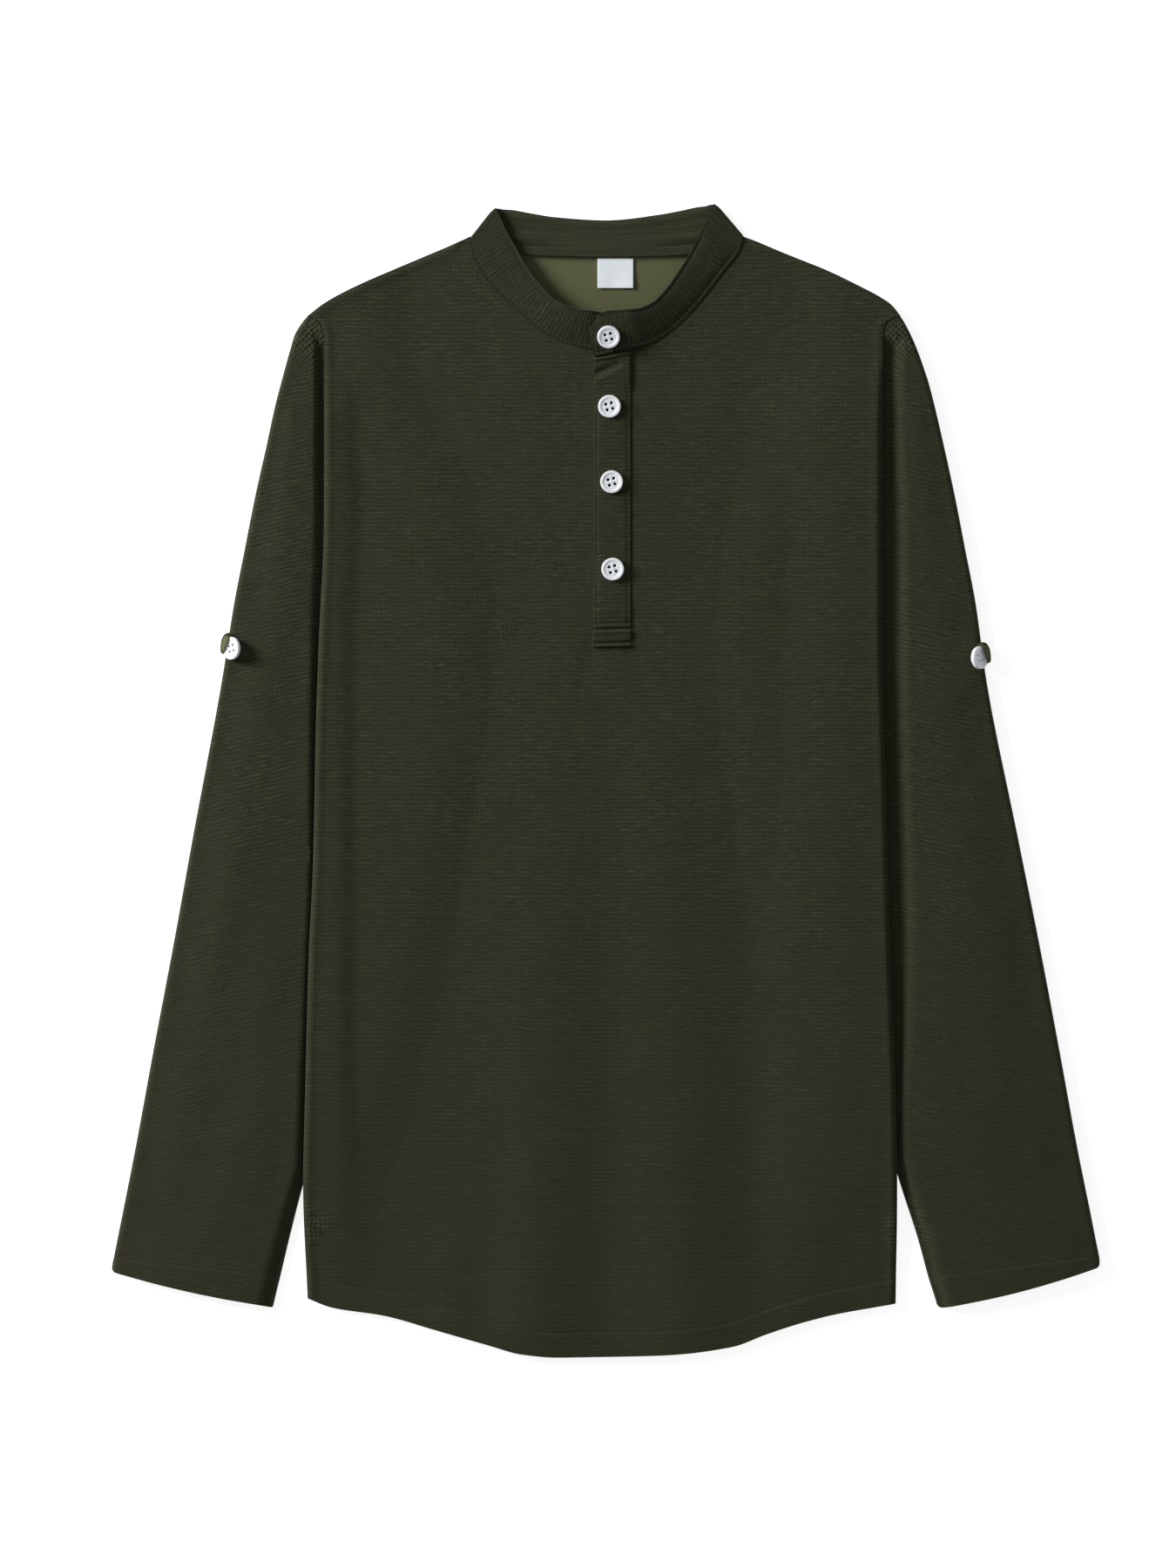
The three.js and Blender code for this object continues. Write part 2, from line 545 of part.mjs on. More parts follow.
// Half a turn round a side fold, from the front's face to the back's.
function foldStations(side) {
  const { seam, tip } = COLLAR_FOLD[side];
  const out = new THREE.Vector2(tip[1] - seam[1], seam[0] - tip[0]).normalize();
  out.multiplyScalar(side === 'minus' ? -1 : 1);
  const point = ([x, y], radius, degrees) => {
    const angle = THREE.MathUtils.degToRad(degrees);
    const reach = radius * Math.cos(angle) - COLLAR_FOLD_RADIUS;
    return [x + out.x * reach, y + out.y * reach, COLLAR_FOLD_RADIUS + radius * Math.sin(angle)];
  };
  const bore = COLLAR_FOLD_RADIUS - BAND_CLOTH;
  return FOLD_TURNS.map((degrees) => {
    const across = (radius) => BAND_SHARES.map((share) => point(
      [lerp(seam[0], tip[0], share), lerp(seam[1], tip[1], share)], radius, degrees,
    ));
    return { faces: across(COLLAR_FOLD_RADIUS), backs: across(bore) };
  });
}

// The back half of the band lies face down, on the back's allowance and on the surface.
function backBandStations() {
  const station = (seam, edge) => bandStation([...seam, BACK_BAND_RISE], [...edge, 0], -1);
  const half = (side) => BACK_NECK.map((row) => station(seamPoint(row, side, false), row.edge[side]));
  const [x, y] = BACK_NECK_CENTRE.seam;
  const centre = station([x, y + GAP / 2], BACK_NECK_CENTRE.edge);
  return [...half('plus'), centre, ...half('minus').reverse()];
}

// The lapped upper end lies on one sloping plane.
function upperEndZ(y) {
  const slope = CENTRE_RISE / (CENTRE_EDGE_Y - CENTRE_SEAM_Y);
  return bandSeamZ(SLIT.minus, NECK_CENTRE_Y) + LAP + (y - CENTRE_SEAM_Y) * slope;
}

// The upper end: its lower corner hangs over the placket and its upper corner is cut off.
function upperEndStations() {
  const onPlane = ([x, y]) => [x, y, upperEndZ(y)];
  const station = (seam, edge) => bandStation(onPlane(seam), onPlane(edge), 1);
  const end = station([UPPER_END.x, UPPER_END.seamY], [UPPER_END.edgeX, UPPER_END.edgeY]);
  for (const points of [end.faces, end.backs]) {
    points[1][0] = (UPPER_END.x + UPPER_END.cornerX) / 2;
    points[2][0] = UPPER_END.cornerX;
  }
  const middle = station([1, CENTRE_SEAM_Y], [1, CENTRE_EDGE_Y]);
  return [end, middle, station(UPPER_END_ROOT.seam, UPPER_END_ROOT.edge)];
}

function lowerEndStations() {
  const z = bandSeamZ(SLIT.minus, NECK_CENTRE_Y);
  const { fromX, toX, edgeShift, edgeY, rise } = LOWER_END;
  return [fromX, toX].map((x) => bandStation(
    [x, NECK_CENTRE_Y + GAP / 2, z], [x + edgeShift, edgeY, z + rise], 1,
  ));
}

function makeCollarBand() {
  const slideDown = (x) => LAP * (1 - smooth((x - LAP_FADE.from) / LAP_FADE.length));
  const stations = [
    ...upperEndStations(),
    ...frontBandStations('plus', slideDown).reverse(),
    ...foldStations('plus'),
    ...backBandStations(),
    ...foldStations('minus').reverse(),
    ...frontBandStations('minus', () => 0),
    ...lowerEndStations(),
  ];
  const pointPair = (i, j) => ({ outer: stations[j].faces[i], inner: stations[j].backs[i] });
  return meshOf('collar_band', wallGeometry(BAND_SHARES.length, stations.length, pointPair), OLIVE_COLLAR);
}

// ---- placket and label ---------------------------------------------------------------------

// A strip that lies on another surface: columns run across it, levels up it.
function stripGeometry(columnsAt, levels, under, thickness) {
  const pointPair = (i, j) => {
    const [x, y] = [columnsAt(levels[j])[i], levels[j]];
    const z = under(x, y);
    return { outer: [x, y, z + thickness], inner: [x, y, z] };
  };
  return wallGeometry(columnsAt(levels[0]).length, levels.length, pointPair);
}

function makeTopStrip() {
  const columnsAt = (y) => {
    const ends = y <= TOP_STRIP_BOX.level ? TOP_STRIP_BOX : TOP_STRIP;
    return [0, 1 / 3, 2 / 3, 1].map((share) => lerp(ends.minus, ends.plus, share));
  };
  const under = (x, y) => frontTop(x, y) + GAP;
  return meshOf('placket_top_strip', stripGeometry(columnsAt, TOP_STRIP_LEVELS, under, STRIP_CLOTH), OLIVE);
}

function makeUnderStrip() {
  const columnsAt = () => [SLIT.minus + GAP, SLIT.plus - GAP];
  const geometry = stripGeometry(columnsAt, UNDER_STRIP_LEVELS, frontUnder, CLOTH);
  return meshOf('placket_under_strip', geometry, OLIVE);
}

function makeLabel() {
  const columnsAt = () => [LABEL.minus, LABEL.plus];
  const under = (x, y) => backTop(x, y) + GAP;
  const geometry = stripGeometry(columnsAt, [LABEL.bottom, LABEL.top], under, LABEL_CLOTH);
  return meshOf('neck_label', geometry, WHITE_LABEL, 0.7);
}

// ---- buttons and tabs ----------------------------------------------------------------------

function circlePoints(x, y, diameter, count) {
  return Array.from({ length: count }, (_, k) => {
    const angle = (2 * Math.PI * k) / count;
    return new THREE.Vector2(x + (diameter / 2) * Math.cos(angle), y + (diameter / 2) * Math.sin(angle));
  });
}

// A flat four-hole button, its underside at z = 0.
function buttonGeometry() {
  const shape = new THREE.Shape(circlePoints(0, 0, BUTTON_DIAMETER, RIM_SIDES));
  for (let k = 0; k < 4; k += 1) {
    const angle = BUTTON_TURN + (k * Math.PI) / 2;
    const [x, y] = [Math.cos(angle), Math.sin(angle)].map((value) => (value * BUTTON_HOLE_CIRCLE) / 2);
    shape.holes.push(new THREE.Path(circlePoints(x, y, BUTTON_HOLE, HOLE_SIDES)));
  }
  return new THREE.ExtrudeGeometry(shape, { depth: BUTTON_THICKNESS, bevelEnabled: false });
}

function makeButton(name, x, y, z) {
  const button = meshOf(name, buttonGeometry(), WHITE_PLASTIC, 0.35);
  button.position.set(x, y, z);
  return button;
}

function makeCollarButton() {
  const { x, y } = COLLAR_BUTTON;
  const slope = Math.atan2(CENTRE_RISE, CENTRE_EDGE_Y - CENTRE_SEAM_Y);
  const button = makeButton('collar_button', x, y, upperEndZ(y) + GAP / Math.cos(slope));
  button.rotation.x = slope;
  return button;
}

function makePlacketButtons() {
  return PLACKET_BUTTONS.map(({ x, y }, k) => {
    const reach = BUTTON_DIAMETER / 2;
    const highest = Math.max(frontTop(x, y), frontTop(x, y - reach), frontTop(x, y + reach));
    return makeButton(`placket_button_${k + 1}`, x, y, highest + GAP + STRIP_CLOTH + GAP);
  });
}

// The tab's section round the fold, from its end on the sleeve's top to its lower edge, and its
// half width there.
const TAB_SECTION = [
  { inboard: 9.0, z: 7.0, halfWidth: 2.2 },
  { inboard: 5.5, z: 6.7, halfWidth: 5.6 },
  { inboard: 1.6, z: 6.2, halfWidth: 7.2 },
  { inboard: -1.8, z: 5.1, halfWidth: 7.6 },
  { inboard: -3.7, z: 3.4, halfWidth: 7.4 },
  { inboard: -3.2, z: 1.4, halfWidth: 6.4 },
];

const TAB_SHARES = [-1, -0.6, 0, 0.6, 1]; // across its width

function makeTab(name, side) {
  const { foldX, y } = SLEEVE_TABS[side];
  const inboardX = side === 'minus' ? 1 : -1;
  const pointPair = (i, j) => {
    const { inboard, z, halfWidth } = TAB_SECTION[j];
    const before = TAB_SECTION[Math.max(0, j - 1)];
    const after = TAB_SECTION[Math.min(TAB_SECTION.length - 1, j + 1)];
    const normal = new THREE.Vector2(after.z - before.z, before.inboard - after.inboard).normalize();
    const place = (depth) => [
      foldX + inboardX * (inboard - normal.x * depth),
      y + TAB_SHARES[i] * halfWidth,
      z - normal.y * depth,
    ];
    return { outer: place(0), inner: place(TAB_CLOTH) };
  };
  return meshOf(name, wallGeometry(TAB_SHARES.length, TAB_SECTION.length, pointPair), OLIVE_WRONG_SIDE);
}

function makeSleeveButton(name, side) {
  const { buttonX, buttonY } = SLEEVE_TABS[side];
  const button = makeButton(name, buttonX, buttonY, SLEEVE_BUTTON_Z);
  button.rotation.y = side === 'minus' ? -SLEEVE_BUTTON_TILT : SLEEVE_BUTTON_TILT;
  return button;
}

// ---- the shirt -----------------------------------------------------------------------------

const shirt = new THREE.Group();
shirt.add(
  makeBackPanel(),
  makeFrontPanel(),
  makeSleeve('right_sleeve', 'minus'),
  makeSleeve('left_sleeve', 'plus'),
  makeCollarBand(),
  makeTopStrip(),
  makeUnderStrip(),
  makeLabel(),
  makeCollarButton(),
  ...makePlacketButtons(),
  makeTab('right_sleeve_tab', 'minus'),
  makeTab('left_sleeve_tab', 'plus'),
  makeSleeveButton('right_sleeve_button', 'minus'),
  makeSleeveButton('left_sleeve_button', 'plus'),
);

export default shirt;
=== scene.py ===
"""A long-sleeve waffle-knit henley shirt with a band collar, laid flat on its back.

Tables and shape functions are in millimetres, and meshes are made in metres. The surface that the
shirt lies on is z = 0, the hem points to -Y and the collar to +Y. Left and right are the
wearer's own, so side -1 is the wearer's right (-X) and side +1 the wearer's left (+X).
"""

import logging
import math
from collections.abc import Sequence
from dataclasses import dataclass, field
from enum import Enum
from typing import NamedTuple

import bmesh
import bpy
import numpy as np
from mathutils import Matrix, Vector
from numpy.linalg import norm


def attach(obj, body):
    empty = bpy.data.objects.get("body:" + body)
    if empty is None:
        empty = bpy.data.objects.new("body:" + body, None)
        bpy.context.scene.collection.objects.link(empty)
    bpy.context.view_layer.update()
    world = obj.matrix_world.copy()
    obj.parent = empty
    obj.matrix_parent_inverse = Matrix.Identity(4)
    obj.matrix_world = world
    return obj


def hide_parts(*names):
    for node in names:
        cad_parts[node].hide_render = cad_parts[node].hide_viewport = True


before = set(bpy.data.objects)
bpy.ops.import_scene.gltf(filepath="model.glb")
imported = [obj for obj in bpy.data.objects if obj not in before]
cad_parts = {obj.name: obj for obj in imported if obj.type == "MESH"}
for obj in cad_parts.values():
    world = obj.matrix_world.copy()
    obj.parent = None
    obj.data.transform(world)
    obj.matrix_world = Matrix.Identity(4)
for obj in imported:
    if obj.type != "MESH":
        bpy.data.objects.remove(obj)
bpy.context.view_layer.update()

LOG = logging.getLogger("henley")
MM = 0.001
SIDES = (-1, 1)

CLOTH = 1.4
BAND_CLOTH = 2.4
BAND_WALL = 2.0
STRIP_WALL = 0.9
GAP = 0.3
SLEEVE_STACK = 2 * CLOTH + GAP
BODY_ON_SLEEVE = SLEEVE_STACK + GAP

Array = np.ndarray
Point = tuple[float, float]
Pair = tuple[float, float]
Triple = tuple[float, float, float]
Colour = Triple
Piece = bpy.types.Object
Material = bpy.types.Material
Socket = bpy.types.NodeSocket


# ---- tables of the laid shape ----


class Level(NamedTuple):
    """A level of an outline, with its -X and its +X side."""

    y: float
    minus: float
    plus: float


class NeckRow(NamedTuple):
    """A point of a neck seam, the collar's free edge opposite it, and that edge's rise."""

    y: float
    minus: float
    plus: float
    edge_minus: Point
    edge_plus: Point
    rise: float = 0.0

    def seam(self, side: int) -> Array:
        """Return the seam's point on a side."""
        return np.array([self.minus if side < 0 else self.plus, self.y])

    def edge(self, side: int) -> Array:
        """Return the free edge's point on a side."""
        return np.array(self.edge_minus if side < 0 else self.edge_plus)


BODY_SIDES = (
    Level(298.5, -192.5, 189.4),
    Level(297.6, -188.6, 185.0),
    Level(295.6, -184.8, 181.2),
    Level(291.5, -182.6, 178.9),
    Level(284.0, -181.8, 178.0),
    Level(269.5, -181.4, 177.8),
    Level(222.0, -181.2, 177.3),
    Level(166.0, -181.4, 177.2),
    Level(90.0, -184.8, 177.4),
    Level(40.0, -186.5, 178.6),
    Level(-58.0, -188.7, 181.2),
    Level(-110.0, -191.2, 182.8),
    Level(-209.0, -193.8, 186.2),
    Level(-260.0, -194.9, 187.0),
    Level(-334.0, -192.2, 186.2),
)
SHOULDERS = (
    Level(298.5, -192.5, 189.4),
    Level(306.0, -183.0, 183.4),
    Level(310.5, -175.8, 177.0),
    Level(319.5, -158.0, 160.0),
    Level(328.4, -137.8, 141.7),
    Level(337.4, -117.0, 119.8),
    Level(347.0, -95.2, 97.4),
    Level(350.4, -88.9, 90.2),
)
FRONT_NECK = (
    NeckRow(342.2, -87.6, 86.0, (-64.5, 354.4), (62.5, 356.5), 1.2),
    NeckRow(326.1, -79.9, 74.1, (-57.5, 341.7), (54.4, 340.3), 2.4),
    NeckRow(313.3, -69.0, 64.3, (-50.4, 329.3), (47.0, 328.0), 3.6),
    NeckRow(301.7, -56.1, 54.4, (-41.5, 317.5), (38.5, 315.8), 5.2),
    NeckRow(290.0, -43.3, 42.2, (-30.5, 307.3), (29.0, 306.4), 7.0),
    NeckRow(282.4, -29.1, 30.2, (-18.9, 302.7), (20.5, 302.9), 7.8),
    NeckRow(279.2, -16.3, 20.6, (-10.0, 301.6), (14.5, 302.2), 7.5),
)
NECK_CENTRE_Y = 277.3
BACK_NECK = (
    NeckRow(345.4, -78.0, 79.0, (-66.5, 367.6), (64.0, 369.7)),
    NeckRow(341.6, -68.0, 69.0, (-59.5, 367.0), (58.0, 368.8)),
    NeckRow(338.9, -56.0, 56.0, (-51.0, 365.4), (49.5, 367.0)),
    NeckRow(337.6, -35.0, 35.0, (-33.0, 362.5), (33.0, 363.9)),
)
BACK_CENTRE = NeckRow(337.0, 0.0, 0.0, (0.0, 360.4), (0.0, 360.4))
COLLAR_FOLD = {-1: ((-87.0, 350.4), (-71.6, 370.0)), 1: ((88.2, 351.0), (69.8, 372.6))}
HEM = (
    (-192.2, -332.8),
    (-177.0, -338.6),
    (-143.0, -344.0),
    (-110.0, -353.2),
    (-76.0, -362.9),
    (-54.0, -368.8),
    (-31.0, -370.8),
    (2.0, -370.4),
    (36.0, -369.4),
    (81.0, -364.0),
    (103.0, -356.0),
    (125.0, -348.8),
    (148.0, -343.0),
    (168.0, -339.4),
    (186.2, -336.2),
)
# The outer fold's y and its x on each side, then the same of the inner fold.
SLEEVE_ROWS = (
    (299.4, -191.2, 188.1, 297.4, -181.6, 178.2),
    (298.3, -192.9, 189.7, 296.4, -181.2, 177.8),
    (296.6, -194.5, 190.9, 295.0, -180.8, 177.4),
    (294.0, -196.4, 192.4, 292.4, -180.2, 176.8),
    (287.0, -200.5, 196.0, 286.0, -179.0, 175.6),
    (277.5, -203.4, 200.1, 277.5, -178.0, 174.6),
    (265.0, -206.9, 204.6, 265.0, -176.6, 173.4),
    (255.0, -209.6, 207.8, 255.0, -174.8, 171.8),
    (241.0, -213.2, 211.4, 243.0, -171.0, 168.0),
    (216.0, -218.6, 217.2, 219.0, -155.0, 152.0),
    (183.0, -226.0, 224.4, 178.0, -138.0, 135.0),
    (149.0, -232.7, 231.0, 136.0, -129.0, 127.0),
    (116.0, -239.2, 237.4, 96.0, -126.0, 124.0),
    (65.0, -247.3, 244.6, 42.0, -130.0, 128.0),
    (-36.0, -266.0, 264.8, -58.0, -146.0, 143.0),
    (-103.0, -278.1, 278.3, -124.0, -158.0, 155.0),
    (-170.0, -290.8, 291.0, -190.0, -173.0, 169.0),
    (-239.0, -303.5, 303.7, -258.0, -194.6, 188.8),
    (-286.0, -312.8, 313.2, -294.0, -203.9, 200.4),
    (-307.0, -317.0, 317.2, -318.0, -209.6, 207.0),
    (-315.4, -318.7, 318.8, -338.4, -214.5, 213.0),
)
SLIT = (-4.5, 12.5)
SLIT_END = 104.2


# ---- small tools ----


def smooth(t: Array | float) -> Array:
    """Rise gently from 0 at t = 0 to 1 at t = 1, and stay flat outside."""
    t = np.clip(t, 0.0, 1.0)
    return t * t * (3 - 2 * t)


def quarter_round(t: Array) -> Array:
    """Rise from 0 at t = 0 to 1 at t = 1 like the edge of a folded cloth."""
    t = np.clip(t, 0.0, 1.0)
    return np.sqrt(1 - (1 - t) ** 2)


def bump(away: Array, half_width: float) -> Array:
    """A soft bump: 1 on its line, fading out past half_width."""
    return np.exp(-((away / half_width) ** 2))


class Profile:
    """A smooth curve through a table's rows that never overshoots them."""

    def __init__(self, keys: Sequence[float], values: Sequence[float]) -> None:
        """Fit the curve.

        Args:
            keys: where the rows lie, in rising or falling order.
            values: the value at each row.
        """
        order = np.argsort(keys)
        self.keys = np.asarray(keys, float)[order]
        self.values = np.asarray(values, float)[order]
        steps = np.diff(self.keys)
        rates = np.diff(self.values) / steps
        before, after = rates[:-1], rates[1:]
        first = 2 * steps[1:] + steps[:-1]
        second = steps[1:] + 2 * steps[:-1]
        same_way = before * after > 0
        safe = lambda rate: np.where(same_way, rate, 1.0)
        mean = (first + second) / (first / safe(before) + second / safe(after))
        self.slopes = np.concatenate([rates[:1], np.where(same_way, mean, 0.0), rates[-1:]])

    def __call__(self, at: Array | float) -> Array:
        """Read the curve, held flat past its ends.

        Args:
            at: where to read it.

        Returns:
            The value at each place.
        """
        at = np.clip(np.asarray(at, float), self.keys[0], self.keys[-1])
        k = np.clip(np.searchsorted(self.keys, at, side="right") - 1, 0, len(self.keys) - 2)
        step = self.keys[k + 1] - self.keys[k]
        t = (at - self.keys[k]) / step
        bend = t * t * (3 - 2 * t)
        rise_in = t * (1 - t) ** 2 * self.slopes[k]
        rise_out = t * t * (t - 1) * self.slopes[k + 1]
        return self.values[k] * (1 - bend) + self.values[k + 1] * bend + step * (rise_in + rise_out)


def both_sides(rows: Sequence[Level], by_x: bool = False) -> dict[int, Profile]:
    """Make a profile for each side of an outline.

    Args:
        rows: the outline's levels.
        by_x: read y at an x instead of x at a y.

    Returns:
        The profile of side -1 and of side +1.
    """
    ys, *columns = zip(*rows)
    return {side: Profile(xs, ys) if by_x else Profile(ys, xs) for side, xs in zip(SIDES, columns)}


def on_side(pair: dict[int, Profile], x: Array, at: Array) -> Array:
    """Read the -X profile where x is below 0, and the +X profile elsewhere."""
    return np.where(x < 0, pair[-1](at), pair[1](at))


def spaced(marks: Sequence[float], step: float) -> Array:
    """Fill in even points between marks.

    Args:
        marks: places in order.
        step: about how far apart the points are.

    Returns:
        The marks and the points between them.
    """
    parts = [
        np.linspace(a, b, max(1, round(abs(b - a) / step)), endpoint=False)
        for a, b in zip(marks[:-1], marks[1:])
    ]
    return np.concatenate([*parts, marks[-1:]])


def run_lengths(*lines: Array) -> Array:
    """Return how far each station lies along lines that run side by side."""
    gaps = sum(norm(np.diff(line, axis=0), axis=1) for line in lines)
    return np.concatenate([[0.0], np.cumsum(gaps / len(lines))])


@dataclass(frozen=True)
class Crease:
    """A soft ridge (above 0) or trough (below 0) along a straight line, in millimetres."""

    start: Point
    end: Point
    half_width: float
    start_height: float
    end_height: float

    def height(self, x: Array, y: Array) -> Array:
        """Work out the crease.

        Args:
            x, y: the points.

        Returns:
            The height at each point.
        """
        along = np.subtract(self.end, self.start)
        t = ((x - self.start[0]) * along[0] + (y - self.start[1]) * along[1]) / (along @ along)
        t = np.clip(t, 0.0, 1.0)
        away = np.hypot(x - self.start[0] - t * along[0], y - self.start[1] - t * along[1])
        tall = self.start_height + (self.end_height - self.start_height) * t
        return tall * bump(away, self.half_width)


def creased(creases: Sequence[Crease], x: Array, y: Array) -> Array:
    """Add up the creases' heights."""
    return sum((crease.height(x, y) for crease in creases), np.zeros(np.shape(x)))


class Ridge(NamedTuple):
    """A soft ridge (above 0) or groove (below 0) across a strip, by its place along it."""

    at: float
    height: float
    half_width: float


def ridged(ridges: Sequence[Ridge], along: Array) -> Array:
    """Add up the ridges' heights."""
    return sum(ridge.height * bump(along - ridge.at, ridge.half_width) for ridge in ridges)


class Unevenness:
    """The slight waviness of cloth that has been smoothed by hand: a few long sine waves."""

    def __init__(self, seed: int, height: float, shortest: float, longest: float) -> None:
        """Draw the waves.

        Args:
            seed: seed of the draw.
            height: height of each wave.
            shortest: shortest wavelength.
            longest: longest wavelength.
        """
        draw = np.random.default_rng(seed)
        lengths = draw.uniform(shortest, longest, 7)
        turns = draw.uniform(0, math.tau, 7)
        self.waves = np.stack([np.cos(turns), np.sin(turns)], axis=1) * (math.tau / lengths)[:, None]
        self.phases = draw.uniform(0, math.tau, 7)
        self.each = height

    def __call__(self, x: Array, y: Array) -> Array:
        """Return the height at each point."""
        phase = x[..., None] * self.waves[:, 0] + y[..., None] * self.waves[:, 1] + self.phases
        return self.each * np.sin(phase).sum(axis=-1)


# ---- finishes ----


class NodeBench:
    """Adds and joins nodes in one tree, left to right."""

    def __init__(self, tree: bpy.types.NodeTree) -> None:
        """Take the tree to work in."""
        self.tree = tree
        self.count = 0

    def add(self, kind: str, **settings: object) -> bpy.types.Node:
        """Add a node and set its properties.

        Args:
            kind: the node's type name, less ShaderNode.
            settings: properties by name, or socket values by their index as i0, i1 and so on.

        Returns:
            The node.
        """
        node = self.tree.nodes.new("ShaderNode" + kind)
        node.location = (self.count * 190 - 900, -(self.count % 4) * 160)
        self.count += 1
        for name, value in settings.items():
            if name[0] == "i" and name[1:].isdigit():
                self.feed(value, node.inputs[int(name[1:])])
            else:
                setattr(node, name, value)
        return node

    def feed(self, value: object, socket: Socket) -> None:
        """Join a socket to another, or set its value.

        Args:
            value: the other socket, or the value.
            socket: the socket to feed.
        """
        if isinstance(value, Socket):
            self.tree.links.new(value, socket)
        else:
            socket.default_value = value

    def math(self, operation: str, *values: object) -> Socket:
        """Add a Math node and return its output."""
        settings = {f"i{k}": value for k, value in enumerate(values)}
        return self.add("Math", operation=operation, **settings).outputs[0]

    def times(self, first: object, second: object) -> Socket:
        """Multiply two values."""
        return self.math("MULTIPLY", first, second)

    def ripple(self, along: Socket, pitch: float) -> Socket:
        """Return a sine wave from -1 to 1, by its pitch."""
        return self.math("SINE", self.times(along, math.tau / pitch))

    def noise(self, vector: Socket, scale: float, detail: float = 2.0) -> Socket:
        """Add a Noise Texture.

        Args:
            vector: where to read it.
            scale: its scale.
            detail: its detail.

        Returns:
            Its value, from 0 to 1.
        """
        node = self.add("TexNoise", noise_dimensions="3D")
        settings = {"Vector": vector, "Scale": scale, "Detail": detail, "Roughness": 0.55}
        for name, value in settings.items():
            self.feed(value, node.inputs[name])
        return node.outputs["Fac"]

    def ramp(self, value: Socket, low: float, high: float, to_low: float, to_high: float) -> Socket:
        """Map a range of values to another, clamped, and return it."""
        ends = {"i1": low, "i2": high, "i3": to_low, "i4": to_high}
        return self.add("MapRange", clamp=True, i0=value, **ends).outputs[0]

    def tint(self, colour: object, by: Socket) -> Socket:
        """Scale a colour by a value and return it."""
        node = self.add("VectorMath", operation="SCALE", i0=colour)
        self.feed(by, node.inputs["Scale"])
        return node.outputs[0]


class GroupBench(NodeBench):
    """The bench of a new shader node group, with the group's input and output nodes."""

    def __init__(self, name: str, inputs: dict[str, float | None], outputs: Sequence[str]) -> None:
        """Start the group.

        Args:
            name: its name.
            inputs: each input's default value, or None for a vector.
            outputs: names of its value outputs.
        """
        super().__init__(bpy.data.node_groups.new(name, "ShaderNodeTree"))
        sockets = self.tree.interface
        for label, value in inputs.items():
            kind = "NodeSocketVector" if value is None else "NodeSocketFloat"
            socket = sockets.new_socket(name=label, in_out="INPUT", socket_type=kind)
            if value is not None:
                socket.default_value = value
        for label in outputs:
            sockets.new_socket(name=label, in_out="OUTPUT", socket_type="NodeSocketFloat")
        self.given = self.tree.nodes.new("NodeGroupInput")
        self.result = self.tree.nodes.new("NodeGroupOutput")

    def take(self, name: str) -> Socket:
        """Return one of the group's inputs."""
        return self.given.outputs[name]

    def put(self, name: str, value: Socket) -> None:
        """Send a value to one of the group's outputs."""
        self.feed(value, self.result.inputs[name])


class MaterialBench(NodeBench):
    """The bench of a new material, with its shader."""

    def __init__(self, name: str) -> None:
        """Start the material.

        Args:
            name: its name.
        """
        self.material = bpy.data.materials.new(name)
        self.material.use_nodes = True
        super().__init__(self.material.node_tree)
        self.shader = self.tree.nodes["Principled BSDF"]

    def place(self) -> Socket:
        """Return the place on the shirt, in metres."""
        return self.add("TexCoord").outputs["Object"]

    def own_map(self, name: str) -> Socket:
        """Return the place in the piece's own map, in metres."""
        return self.add("UVMap", uv_map=name).outputs[0]

    def relief(self, height: Socket, strength: float, depth: float) -> None:
        """Raise the surface by a height, at a depth in metres."""
        node = self.add("Bump", i0=strength, i1=depth)
        self.feed(height, node.inputs["Height"])
        self.feed(node.outputs[0], self.shader.inputs["Normal"])

    def finish(self, sockets: dict[str, object]) -> Material:
        """Feed the shader's sockets by name and return the material."""
        for name, value in sockets.items():
            self.feed(value, self.shader.inputs[name])
        return self.material


